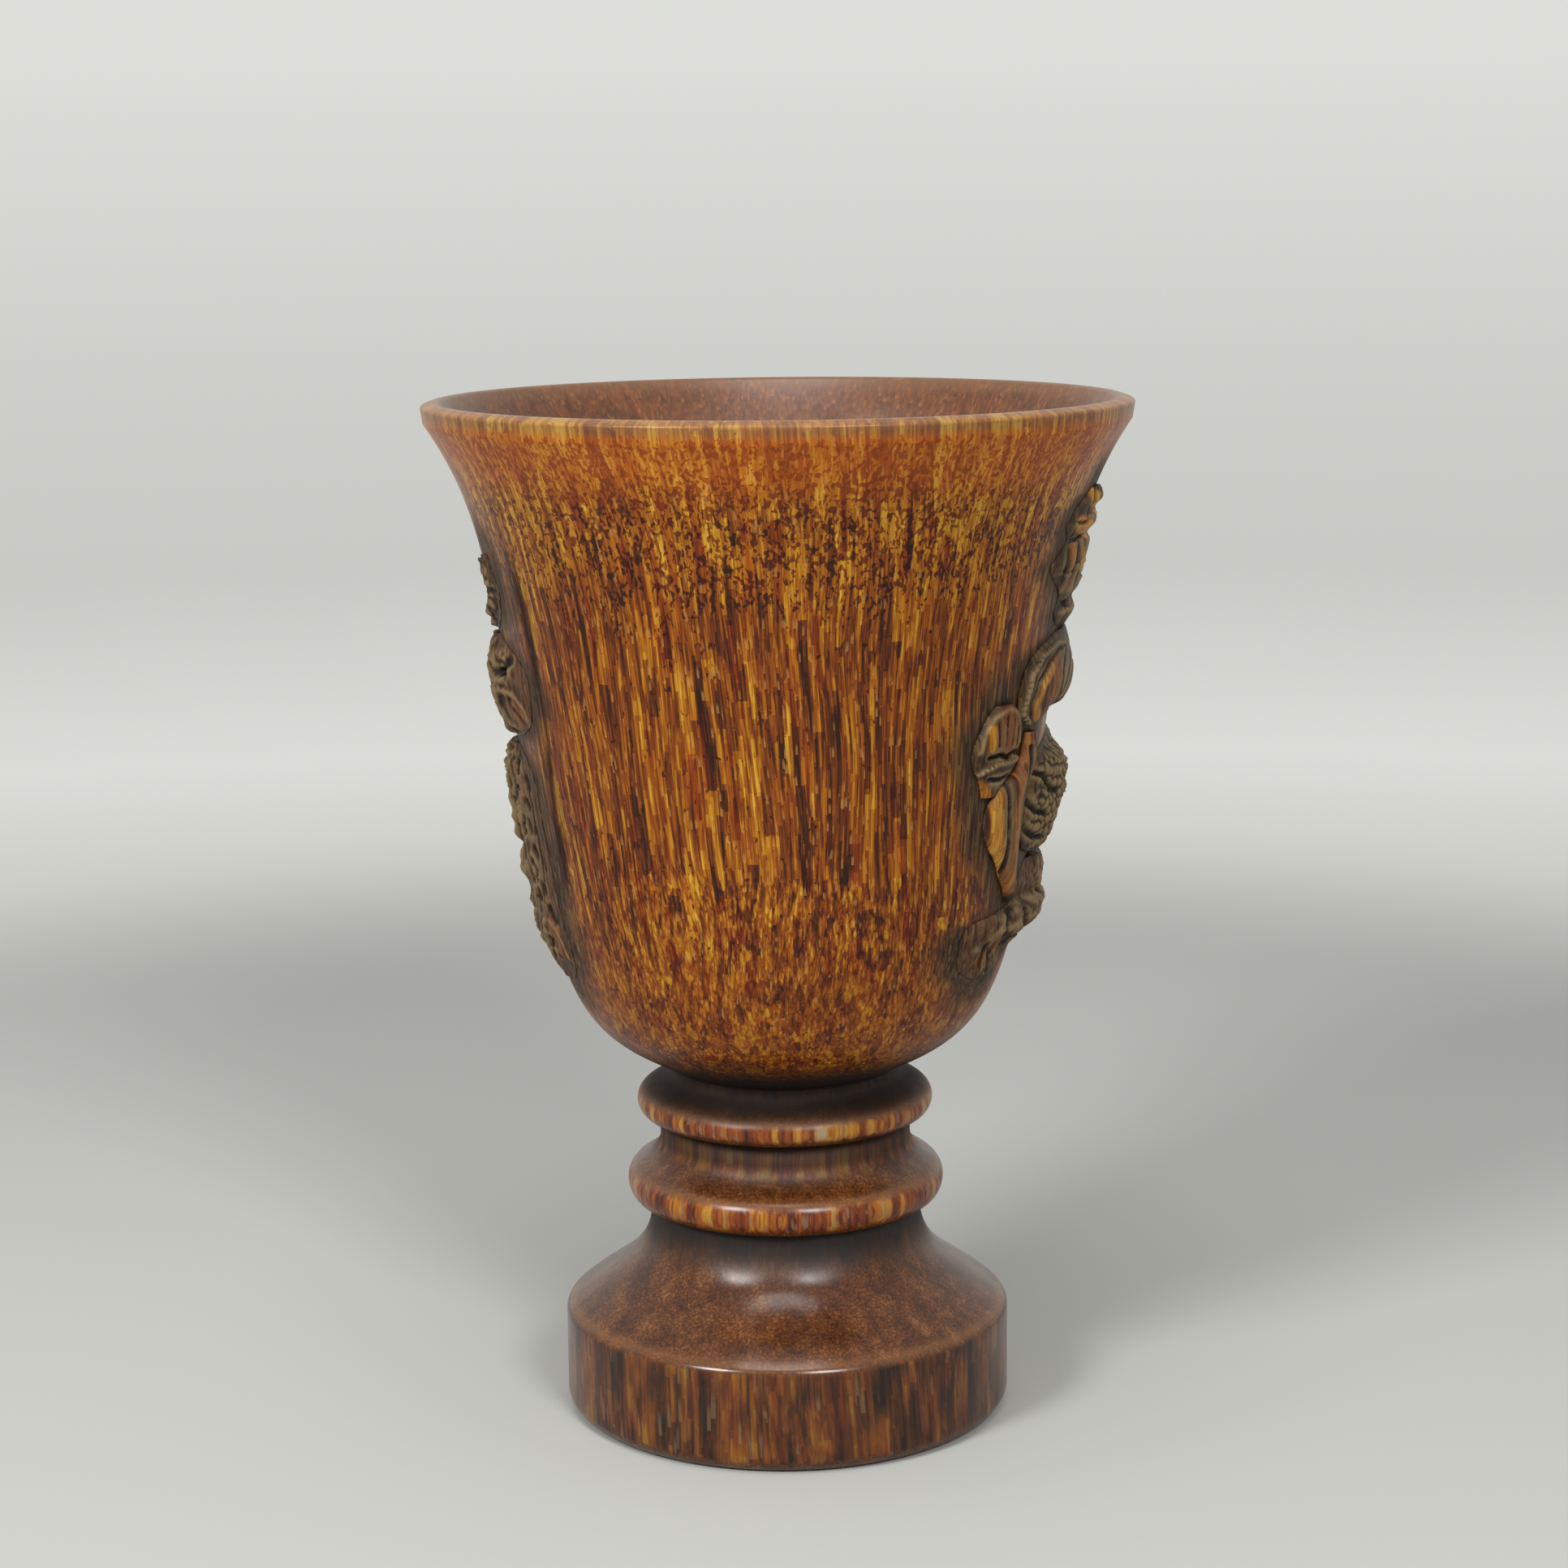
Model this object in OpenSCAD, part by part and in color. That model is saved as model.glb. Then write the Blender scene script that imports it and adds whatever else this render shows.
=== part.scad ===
// Footed drinking cup of turned horn. A flared bowl, two turned rings and a disc foot are glued
// spigot into socket, and carved plants and rocks are glued on two sides of the bowl.

/* [Bowl] */
// Outer diameter of the lip
rim_d = 90; // [86:0.5:96]
// Height of the bowl from its seat to the top of the lip
bowl_h = 86.5; // [82:0.5:92]
// Radius of the bowl at its seat
bowl_seat_r = 14.8; // [13.5:0.1:15.5]
// How far out the curve of the round bottom is pulled
belly_r = 24.7; // [24:0.1:26.5]
// How far up the curve of the round bottom is pulled
belly_rise = 5; // [4:0.1:6.5]
// Radius at the waist, where the round bottom passes into the flare
waist_r = 32.3; // [31:0.1:34]
// Height of the waist above the seat
waist_h = 32.4; // [30:0.1:36]
// Lean of the wall at the waist, sideways for each unit up
waist_lean_share = 0.133; // [0.08:0.001:0.16]
// Angle of the wall under the lip, from upright
flare_angle = 33.5; // [28:0.5:38]
// Rounding of the lip's outer edge
lip_round = 1.7; // [1.4:0.1:2]
// Thickness across the lip
lip_t = 2.6; // [2.2:0.1:3]
// Wall at the waist
wall_t = 3.2; // [2.6:0.1:3.6]
// Thickness of the floor above the seat
floor_t = 9.5; // [8:0.1:11]

/* [Rings] */
// Height of the upper ring
upper_knop_h = 6.7; // [6.2:0.1:8]
// Radius of the upper ring
upper_knop_r = 19.35; // [18.5:0.05:20.5]
// Height of the upper ring's outer band
upper_band_h = 3.1; // [2.6:0.1:3.4]
// Height of the lower ring
lower_knop_h = 11.3; // [10.5:0.1:12.5]
// Radius of the lower ring
lower_knop_r = 20.75; // [20:0.05:22]
// Height of the lower ring's outer band
lower_band_h = 4.1; // [3.4:0.1:4.6]
// Radius of the lower ring's waist
lower_waist_r = 16.4; // [15:0.1:17.5]

/* [Foot] */
// Radius of the foot
foot_r = 29.2; // [28:0.1:32]
// Height of the foot from the table to the lower ring
foot_h = 27.9; // [26:0.1:30]
// Height of the foot's straight side
foot_side_h = 14.2; // [12:0.1:15]
// Rounding of the foot's bottom edge
foot_edge_r = 2.2; // [1:0.1:2.6]
// Rounding of the shoulder above the straight side
shoulder_r = 1; // [0.6:0.1:1.4]
// Slope of the top of the foot beside the shoulder, in degrees
shoulder_slope = 45; // [38:0.5:52]
// Radius where the domed top of the foot turns into the hollow under the neck
dome_r = 21.3; // [20.6:0.1:22]
// Height of that place above the table
dome_h = 19.5; // [18.6:0.1:20.2]
// Slope of the top of the foot there, in degrees
dome_slope = 34; // [28:0.5:38]
// Radius of the neck
neck_r = 18; // [17:0.1:19]
// Height of the straight part of the neck
neck_h = 4.9; // [4:0.1:5.6]
// Width of the ring that the cup stands on
stand_w = 6; // [4:0.1:8]
// Depth of the turned hollow under the foot
dish_t = 1.2; // [0.8:0.1:2]

/* [Joints] */
// Radius of each spigot
spigot_r = 8; // [6:0.1:9]
// Length of each spigot
spigot_l = 4; // [3:0.1:4.2]
// Glue gap round a spigot and under a carving
glue_gap = 0.05; // [0.04:0.01:0.08]
// Room for glue at the bottom of each socket
socket_room = 0.3; // [0.2:0.05:0.5]

/* [Carvings] */
// Height of the highest carving above the bowl
relief_t = 3.4; // [2.6:0.1:4]
// Thickness left along the edges of a carving
edge_share = 0.38; // [0.3:0.01:0.6]

/* [Hidden] */

horn = "#a8611f";
horn_dark = "#7a3f1c";
horn_pale = "#b9862f";
horn_grey = "#6e5433";

// Steps on a turned curve, round a turned piece, and on a carving
curve_steps = 24;
corner_steps = 6;
turn_fn = 180;
rows_per_station = 3;

// Heights of the seats, from the table up
lower_seat_z = foot_h;
upper_seat_z = lower_seat_z + lower_knop_h;
bowl_seat_z = upper_seat_z + upper_knop_h;
rim_r = rim_d / 2;

// Lengths of the straight pull of the bowl's curve, below the waist, above it and under the lip
waist_fall_share = 0.82;
waist_rise_share = 0.62;
lip_pull_share = 0.225;
// The same for the inside: below the waist and along the floor
inner_fall_share = 0.5;
floor_pull_share = 0.93;
// Where the bands of the rings are drawn in, and how full their slopes are
tuck_share = 0.035;
band_edge_share = 0.88;
slope_full_share = 0.45;
slope_foot_share = 0.6;
// Pull of the foot's domed top and of the hollow under the neck
dome_pull_share = 0.35;
neck_pull_share = 0.45;
// The hollow under the foot: how far its floor stays flat, and where its rise ends
dish_flat_share = 0.6;
dish_rise_share = 0.9;
// Overrun of every cut past the face it opens
cut_run = 0.5;
// Fullness of a carving between its edges and its crest
crown_power = 0.7;

// Rows of a carving: height up the bowl, back edge and front edge in degrees round the cup from its side,
// thickness, and where the crest lies from the back edge to the front edge
bamboo_stalk_shares = [
    [0.675, 8, 18, 0.20, 0.4], [0.694, 2, 21, 0.34, 0.4], [0.712, 3, 20, 0.20, 0.5], [0.728, 0, 21, 0.34, 0.4],
    [0.764, -2, 28, 0.40, 0.5], [0.792, 0, 24, 0.38, 0.4], [0.805, 1, 23, 0.22, 0.4], [0.822, 0, 25, 0.42, 0.4],
    [0.843, 2, 23, 0.24, 0.4], [0.857, 3, 21, 0.38, 0.4], [0.874, 9, 16, 0.20, 0.5]];
fungus_cap_shares = [
    [0.543, 25, 32, 0.32, 0.5], [0.554, 14, 33.5, 0.45, 0.5], [0.567, -5, 33.5, 0.62, 0.45],
    [0.585, -11, 33, 0.74, 0.45], [0.606, -11, 31, 0.72, 0.45], [0.633, -8, 28, 0.44, 0.45],
    [0.655, -2, 21, 0.28, 0.45], [0.667, 5, 15, 0.20, 0.5]];
side_leaf_shares = [
    [0.448, 38, 43, 0.25, 0.5], [0.469, 35.5, 44, 0.32, 0.5], [0.487, 32, 46, 0.36, 0.5],
    [0.504, 32, 46.5, 0.30, 0.5], [0.521, 33.5, 47, 0.42, 0.5], [0.545, 36, 45.5, 0.45, 0.5],
    [0.567, 36.4, 43.5, 0.40, 0.5], [0.586, 38, 41.5, 0.25, 0.5]];
long_leaf_shares = [
    [0.275, 25.6, 27, 0.25, 0.5], [0.302, 25.6, 30, 0.42, 0.5], [0.336, 26, 34, 0.48, 0.5],
    [0.383, 26, 38.4, 0.50, 0.45], [0.417, 25.6, 38.6, 0.46, 0.4], [0.440, 25.2, 34, 0.45, 0.4],
    [0.465, 24.8, 30.6, 0.48, 0.4], [0.495, 24.4, 29.5, 0.52, 0.5], [0.530, 24.4, 28.5, 0.36, 0.5]];
pine_trunk_shares = [
    [0.336, -8, 15, 0.50, 0.5], [0.350, -16, 21, 0.72, 0.5], [0.394, -22, 23, 0.96, 0.55],
    [0.440, -25, 22.8, 1.0, 0.6], [0.470, -27, 22, 0.86, 0.6], [0.487, -28.5, 20, 0.44, 0.5],
    [0.500, -29.5, 10, 0.34, 0.4], [0.516, -30, -8, 0.40, 0.4], [0.556, -31, -15, 0.42, 0.4], [0.600, -31, -17.5, 0.40, 0.4],
    [0.645, -30, -16, 0.38, 0.4], [0.690, -26, -11, 0.36, 0.5], [0.730, -22, -9, 0.34, 0.5],
    [0.765, -18, -10, 0.26, 0.5]];
rock_ledge_shares = [
    [0.170, 27, 36, 0.20, 0.5], [0.186, 21, 42, 0.26, 0.5], [0.206, 17, 44, 0.30, 0.4],
    [0.220, 10, 44, 0.48, 0.3], [0.238, -15, 44, 0.84, 0.35], [0.258, -19, 40, 0.90, 0.4],
    [0.270, -18, 22, 0.72, 0.6], [0.295, -16, 21, 0.68, 0.6], [0.324, -8, 15, 0.50, 0.6]];
plum_twig_shares = [
    [0.676, 4, 13, 0.28, 0.4], [0.690, 7, 16, 0.22, 0.4], [0.702, 6, 18, 0.32, 0.4], [0.719, 10, 19, 0.26, 0.4],
    [0.730, 12, 20, 0.30, 0.4], [0.764, 13, 18.5, 0.28, 0.4], [0.786, 15, 17.5, 0.22, 0.5]];
plum_spray_shares = [
    [0.518, 0, 15, 0.26, 0.5], [0.526, -6, 22, 0.42, 0.5], [0.545, -11, 27.5, 0.56, 0.5],
    [0.585, -12, 29, 0.66, 0.5], [0.612, -11, 31, 0.66, 0.5], [0.637, -9, 30, 0.50, 0.5],
    [0.654, -3, 22, 0.34, 0.5], [0.667, 2, 14, 0.26, 0.5]];
plum_branch_shares = [
    [0.516, -20, -10, 0.44, 0.5], [0.535, -24, -14, 0.42, 0.5], [0.560, -26, -17, 0.38, 0.5],
    [0.600, -25, -17.5, 0.36, 0.5], [0.640, -21, -14.5, 0.34, 0.5], [0.680, -16, -9, 0.32, 0.5],
    [0.715, -10, -3, 0.30, 0.5], [0.745, -4, 3, 0.28, 0.5], [0.770, 1, 6, 0.22, 0.5]];
garden_rock_shares = [
    [0.158, 16, 26, 0.18, 0.5], [0.175, 8, 31, 0.26, 0.4], [0.209, -4, 32, 0.54, 0.4],
    [0.255, -12, 30, 0.58, 0.4], [0.302, -16, 34, 0.66, 0.4], [0.348, -14, 34.5, 0.60, 0.4],
    [0.394, -18, 34, 0.60, 0.4], [0.440, -20, 33, 0.66, 0.45], [0.475, -18, 31, 0.62, 0.45],
    [0.493, -8, 24, 0.44, 0.5], [0.502, 0, 16, 0.30, 0.5]];

// Flowers and tufts: height up the bowl, place in degrees round the cup, radius for each unit of waist radius
pine_tuft_shares = [[0.665, -39, 0.115], [0.745, -32, 0.13], [0.812, -14, 0.14]];
plum_flower_shares = [[0.645, -33, 0.09], [0.722, -25, 0.115], [0.790, -11, 0.10]];
tuft_t_share = 0.36;
flower_t_share = 0.42;
flower_dimple_share = 0.5;
flower_eye_share = 0.4;

// A cubic curve through p[0] and p[3], pulled towards p[1] and p[2]
function pull(p, steps = curve_steps) = [for (i = [0:steps]) let (t = i / steps)
    pow(1 - t, 3) * p[0] + 3 * pow(1 - t, 2) * t * p[1] + 3 * (1 - t) * pow(t, 2) * p[2] + pow(t, 3) * p[3]];

// A round corner about c, from angle a to angle b
function corner(c, r, a, b) = [for (i = [0:corner_steps])
    let (w = a + (b - a) * i / corner_steps) c + r * [cos(w), sin(w)]];

// Outside of the bowl from its seat to the lip, as radius and height above the seat
waist = [waist_r, waist_h];
lean = [waist_lean_share, 1];
flare = [sin(flare_angle), cos(flare_angle)];
lip_c = [rim_r - lip_round, bowl_h - lip_round];
lip_start = lip_c + lip_round * [cos(flare_angle), -sin(flare_angle)];
bowl_outside = concat(
    pull([[bowl_seat_r, 0], [belly_r, belly_rise], waist - waist_fall_share * waist_h * lean, waist]),
    pull([waist, waist + waist_rise_share * (bowl_h - waist_h) * lean,
          lip_start - lip_pull_share * (bowl_h - waist_h) * flare, lip_start]));

// Inside of the bowl, from the lip down to the middle of the floor
inner_round = lip_t - lip_round;
inner_lip_c = [rim_r - lip_round, bowl_h - inner_round];
inner_lip = inner_lip_c + inner_round * [-cos(flare_angle), sin(flare_angle)];
inner_waist = waist - [wall_t, 0];
bowl_inside = concat(
    pull([inner_lip, inner_lip - lip_pull_share * (bowl_h - waist_h) * flare,
          inner_waist + waist_rise_share * (bowl_h - waist_h) * lean, inner_waist]),
    pull([inner_waist, inner_waist - inner_fall_share * (waist_h - floor_t) * lean,
          [floor_pull_share * belly_r, floor_t], [0, floor_t]]));

// Radius of the bowl's outside at a height above its seat
bowl_side = [for (p = bowl_outside) [p[1], p[0]]];
function bowl_r_at(h) = lookup(h, bowl_side);

// A smooth passage through the rows of a table
function between(a, b, c, d, t) =
    b + (c - a) * t / 2 + (2 * a - 5 * b + 4 * c - d) * pow(t, 2) / 2 + (3 * (b - c) + d - a) * pow(t, 3) / 2;
function station(rows, u) = let (last = len(rows) - 1, i = min(floor(u), last - 1))
    between(rows[max(i - 1, 0)], rows[i], rows[i + 1], rows[min(i + 2, last)], u - i);

// Share of the full thickness at v across a carving whose crest lies at c, with lumps across and along
function crown(v, c) = let (s = v < c ? v / c : (1 - v) / (1 - c))
    edge_share + (1 - edge_share) * pow(sin(90 * s), crown_power);
function lumps(v, w, count, depth_share) =
    1 - depth_share * (1 + cos(360 * count[0] * v) * cos(360 * count[1] * w)) / 2;

// One side of the cup: x points away from the side on which the carvings are drawn
function on_bowl(h, angle, out) = let (r = bowl_r_at(h) + glue_gap + out)
    [-r * cos(angle), -r * sin(angle), bowl_seat_z + h];

// A carving that lies on the bowl, drawn from a table of rows
module carving(rows, columns = 8, count = [0, 0], depth_share = 0) {
    steps = (len(rows) - 1) * rows_per_station;
    across = columns + 1;
    face = [for (i = [0:steps], j = [0:columns])
        let (s = station(rows, i / rows_per_station), v = j / columns)
        on_bowl(s[0] * bowl_h, s[1] + (s[2] - s[1]) * v,
                relief_t * s[3] * crown(v, s[4]) * lumps(v, i / steps, count, depth_share))];
    back = [for (i = [0:steps], j = [0:columns])
        let (s = station(rows, i / rows_per_station), v = j / columns)
        on_bowl(s[0] * bowl_h, s[1] + (s[2] - s[1]) * v, 0)];
    under = len(face);
    skins = [for (i = [0:steps - 1], j = [0:columns - 1])
        let (a = i * across + j, b = a + across)
        each [[a, b, b + 1], [a, b + 1, a + 1],
              [under + a, under + b + 1, under + b], [under + a, under + a + 1, under + b + 1]]];
    sides = [for (i = [0:steps - 1])
        let (a = i * across, b = a + across, c = a + columns, d = c + across)
        each [[b, a, under + a], [b, under + a, under + b],
              [c, d, under + d], [c, under + d, under + c]]];
    ends = [for (j = [0:columns - 1])
        let (a = j, b = steps * across + j)
        each [[a, a + 1, under + a + 1], [a, under + a + 1, under + a],
              [b + 1, b, under + b], [b + 1, under + b, under + b + 1]]];
    polyhedron(points = concat(face, back), faces = concat(skins, sides, ends));
}

// A round carving with scalloped edges, centred at a height and an angle
module rosette(place, petals, scallop_share, thick_share, dimple_share = 0, rings = 4, steps_per_petal = 4) {
    spokes = petals * steps_per_petal;
    h = place[0] * bowl_h;
    radius = place[2] * waist_r;
    function at(ring, spoke, out) =
        let (turn = 360 * spoke / spokes, reach = radius * ring / rings
                 * (1 - scallop_share * ring / rings * (1 - abs(sin(turn * petals / 2)))))
        on_bowl(h + reach * sin(turn), place[1] + reach * cos(turn) * 180 / (PI * bowl_r_at(h)), out);
    function thick(ring) = let (s = 1 - ring / rings)
        relief_t * thick_share * (edge_share + (1 - edge_share) * pow(sin(90 * s), crown_power))
            * (1 - dimple_share * max(0, s - 1 + flower_eye_share) / flower_eye_share);
    face = concat([at(0, 0, thick(0))], [for (i = [1:rings], j = [0:spokes - 1]) at(i, j, thick(i))]);
    back = concat([at(0, 0, 0)], [for (i = [1:rings], j = [0:spokes - 1]) at(i, j, 0)]);
    under = len(face);
    middle = [for (j = [0:spokes - 1]) let (a = 1 + j, b = 1 + (j + 1) % spokes)
        each [[0, b, a], [under, under + a, under + b]]];
    skins = [for (i = [0:rings - 2], j = [0:spokes - 1])
        let (a = 1 + i * spokes + j, b = 1 + i * spokes + (j + 1) % spokes, c = a + spokes, d = b + spokes)
        each [[a, b, d], [a, d, c], [under + a, under + d, under + b], [under + a, under + c, under + d]]];
    rim = [for (j = [0:spokes - 1])
        let (start = 1 + (rings - 1) * spokes, a = start + j, b = start + (j + 1) % spokes)
        each [[a, b, under + b], [a, under + b, under + a]]];
    polyhedron(points = concat(face, back), faces = concat(middle, skins, rim));
}

// The two sides: the left one as drawn, the right one mirrored
module left_side() { children(); }
module right_side() { mirror([1, 0, 0]) children(); }

module turned(outline) { rotate_extrude($fn = turn_fn) polygon(outline); }

// A blind socket in the middle of a top face, and the spigot that fills it
module socket(top_z) {
    depth = spigot_l + socket_room;
    translate([0, 0, top_z - depth]) cylinder(r = spigot_r + glue_gap, h = depth + cut_run, $fn = turn_fn);
}
module spigot(z) {
    translate([0, 0, z - spigot_l]) cylinder(r = spigot_r, h = spigot_l, $fn = turn_fn);
}

// Outline of a ring: a full outer band, then a slope that hollows into the waist
function ring_outline(r, band, waist_radius, top_r, h) = let (tuck = tuck_share * r, edge = band_edge_share * band)
    concat([[0, 0]],
        pull([[r - tuck, 0], [r, tuck], [r, edge - tuck], [r, edge]], corner_steps),
        pull([[r, edge], [r, edge + slope_full_share * band],
              [waist_radius, h - slope_foot_share * (h - band)], [top_r, h]]),
        [[0, h]]);

module foot() {
    shoulder_c = [foot_r - shoulder_r, foot_side_h - shoulder_r];
    shoulder_end = shoulder_c + shoulder_r * [sin(shoulder_slope), cos(shoulder_slope)];
    neck_low = [neck_r, foot_h - neck_h];
    stand_r = foot_r - foot_edge_r - stand_w;
    dome_end = [dome_r, dome_h];
    dome_pull = dome_pull_share * (shoulder_end[0] - dome_r);
    neck_pull = neck_pull_share * (dome_r - neck_r);
    outline = concat(
        pull([[0, dish_t], [dish_flat_share * stand_r, dish_t],
              [dish_rise_share * stand_r, dish_flat_share * dish_t], [stand_r, 0]], corner_steps),
        corner([foot_r - foot_edge_r, foot_edge_r], foot_edge_r, -90, 0),
        corner(shoulder_c, shoulder_r, 0, 90 - shoulder_slope),
        pull([shoulder_end, shoulder_end + dome_pull * [-1, tan(shoulder_slope)],
              dome_end - dome_pull * [-1, tan(dome_slope)], dome_end], corner_steps * 2),
        pull([dome_end, dome_end + neck_pull * [-1, tan(dome_slope)],
              neck_low - [0, neck_pull_share * (neck_low[1] - dome_h)], neck_low], corner_steps * 2),
        [[neck_r, foot_h], [0, foot_h]]);
    color(horn_dark) difference() {
        turned(outline);
        socket(foot_h);
    }
}

module lower_knop() {
    low = ring_outline(lower_knop_r, lower_band_h, lower_waist_r, lower_waist_r, lower_knop_h);
    color(horn_dark) translate([0, 0, lower_seat_z]) {
        difference() {
            turned(low);
            socket(lower_knop_h);
        }
        spigot(0);
    }
}

module upper_knop() {
    low = ring_outline(upper_knop_r, upper_band_h, bowl_seat_r, bowl_seat_r, upper_knop_h);
    color(horn_dark) translate([0, 0, upper_seat_z]) {
        difference() {
            turned(low);
            socket(upper_knop_h);
        }
        spigot(0);
    }
}

module bowl() {
    outline = concat([[0, 0]], bowl_outside,
        corner(lip_c, lip_round, -flare_angle, 90),
        corner(inner_lip_c, inner_round, 90, 180 - flare_angle),
        bowl_inside);
    color(horn) translate([0, 0, bowl_seat_z]) {
        turned(outline);
        spigot(0);
    }
}

module bamboo_stalk() { color(horn_pale) right_side() carving(bamboo_stalk_shares); }
module fungus_cap() { color(horn) right_side() carving(fungus_cap_shares, columns = 10); }
module side_leaf() { color(horn_pale) right_side() carving(side_leaf_shares, columns = 6); }
module long_leaf() { color(horn_pale) right_side() carving(long_leaf_shares, columns = 6); }
module pine_trunk() {
    color(horn_grey) right_side() carving(pine_trunk_shares, columns = 12, count = [3, 8], depth_share = 0.16);
}
module pine_needles() {
    color(horn_pale) right_side() for (place = pine_tuft_shares)
        rosette(place, petals = 9, scallop_share = 0.14, thick_share = tuft_t_share, steps_per_petal = 2);
}
module rock_ledge() {
    color(horn_grey) right_side() carving(rock_ledge_shares, columns = 12, count = [2, 3], depth_share = 0.2);
}
module plum_twig() { color(horn_grey) left_side() carving(plum_twig_shares, columns = 6); }
module plum_spray() {
    color(horn_dark) left_side() carving(plum_spray_shares, columns = 12, count = [2, 2], depth_share = 0.2);
}
module plum_branch() { color(horn_grey) left_side() carving(plum_branch_shares, columns = 6); }
module plum_blossoms() {
    color(horn_pale) left_side() for (place = plum_flower_shares)
        rosette(place, petals = 5, scallop_share = 0.3, thick_share = flower_t_share,
                dimple_share = flower_dimple_share);
}
module garden_rock() {
    color(horn_grey) left_side() carving(garden_rock_shares, columns = 12, count = [2, 5], depth_share = 0.2);
}

foot();
lower_knop();
upper_knop();
bowl();
bamboo_stalk();
fungus_cap();
side_leaf();
long_leaf();
pine_trunk();
pine_needles();
rock_ledge();
plum_twig();
plum_spray();
plum_branch();
plum_blossoms();
garden_rock();
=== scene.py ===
import math
import bpy
import numpy as np
from mathutils import Matrix, Vector


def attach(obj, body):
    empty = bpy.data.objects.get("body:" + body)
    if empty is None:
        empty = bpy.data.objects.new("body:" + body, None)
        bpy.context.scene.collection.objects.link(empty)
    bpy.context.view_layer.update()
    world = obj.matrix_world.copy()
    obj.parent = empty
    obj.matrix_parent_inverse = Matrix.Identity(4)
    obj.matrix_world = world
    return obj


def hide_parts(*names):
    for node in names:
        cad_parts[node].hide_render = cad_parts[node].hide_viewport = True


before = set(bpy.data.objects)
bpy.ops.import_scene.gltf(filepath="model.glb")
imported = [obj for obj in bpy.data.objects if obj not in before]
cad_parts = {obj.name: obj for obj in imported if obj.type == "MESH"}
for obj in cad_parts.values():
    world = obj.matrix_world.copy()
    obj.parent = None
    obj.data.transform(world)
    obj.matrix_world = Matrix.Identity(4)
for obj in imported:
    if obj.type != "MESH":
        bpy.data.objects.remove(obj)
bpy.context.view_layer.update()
mm = 0.001  # everything below is written in millimetres
print("frame loaded:", len(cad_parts), "nodes")


def tone(red, green, blue):
    # 0-255 screen colour to the linear colour of a socket
    return tuple((c / 255 / 12.92 if c < 11 else ((c / 255 + 0.055) / 1.055) ** 2.4)
                 for c in (red, green, blue)) + (1.0,)


# camera: stands in front, a little above the lip, tipped down at the cup
view = dict(x=0.31, y=-412.4, z=158.1, tipDown=10.38, roll=-0.6, lens=74.48, filmWidth=36)
cameraData = bpy.data.cameras.new("camera")
cameraData.lens = view["lens"]
cameraData.sensor_width = view["filmWidth"]
cameraData.clip_start = 0.01
camera = bpy.data.objects.new("camera", cameraData)
camera.matrix_world = (Matrix.Translation((view["x"] * mm, view["y"] * mm, view["z"] * mm))
                       @ Matrix.Rotation(math.radians(90 - view["tipDown"]), 4, "X")
                       @ Matrix.Rotation(math.radians(view["roll"]), 4, "Z"))
bpy.context.scene.collection.objects.link(camera)
bpy.context.scene.camera = camera


# curves and noise for the meshes
def pull(p, steps):
    # cubic curve through p[0] and p[3], pulled towards p[1] and p[2]
    t = np.linspace(0, 1, steps + 1)[:, None]
    a, b, c, d = np.array(p, float)
    return (1 - t) ** 3 * a + 3 * (1 - t) ** 2 * t * b + 3 * (1 - t) * t ** 2 * c + t ** 3 * d


def arc(centre, radius, fromAngle, toAngle, steps):
    w = np.radians(np.linspace(fromAngle, toAngle, steps + 1))
    return np.array(centre) + radius * np.stack([np.cos(w), np.sin(w)], 1)


def smooth(low, high, value):
    t = np.clip((value - low) / (high - low), 0, 1)
    return t * t * (3 - 2 * t)


def bell(value, middle, width):
    return np.exp(-((value - middle) / width) ** 2)


stir = (127.1, 311.7, 74.7, 43758.5453)  # uneven numbers that scatter the whole ones


def scatter(ix, iy, seed):
    # a fixed pseudo-random number from 0 to 1 for each pair of whole numbers
    return np.modf(np.abs(np.sin(ix * stir[0] + iy * stir[1] + seed * stir[2]) * stir[3]))[0]


def ripple(x, y, seed):
    # soft value noise, 0 to 1
    ix, iy = np.floor(x), np.floor(y)
    fx, fy = x - ix, y - iy
    fx, fy = fx * fx * (3 - 2 * fx), fy * fy * (3 - 2 * fy)
    low = scatter(ix, iy, seed) * (1 - fx) + scatter(ix + 1, iy, seed) * fx
    high = scatter(ix, iy + 1, seed) * (1 - fx) + scatter(ix + 1, iy + 1, seed) * fx
    return low * (1 - fy) + high * fy


def grainNoise(x, y, seed, octaves=4):
    total, size = 0, 0
    for i in range(octaves):
        total = total + ripple(x * 2 ** i, y * 2 ** i, seed + i * 5) / 2 ** i
        size += 1 / 2 ** i
    return total / size


def cells(x, y, seed):
    # distance to the nearest and to the next scattered point, and the nearest one's number
    ix, iy = np.floor(x), np.floor(y)
    first = np.full(x.shape, 9.0)
    second = np.full(x.shape, 9.0)
    name = np.zeros(x.shape)
    for dx in (-1, 0, 1):
        for dy in (-1, 0, 1):
            cx, cy = ix + dx, iy + dy
            px, py = cx + scatter(cx, cy, seed), cy + scatter(cx, cy, seed + 3)
            d = np.hypot(x - px, y - py)
            closer = d < first
            second = np.where(closer, first, np.minimum(second, d))
            name = np.where(closer, scatter(cx, cy, seed + 7), name)
            first = np.where(closer, d, first)
    return first, second, name


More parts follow.
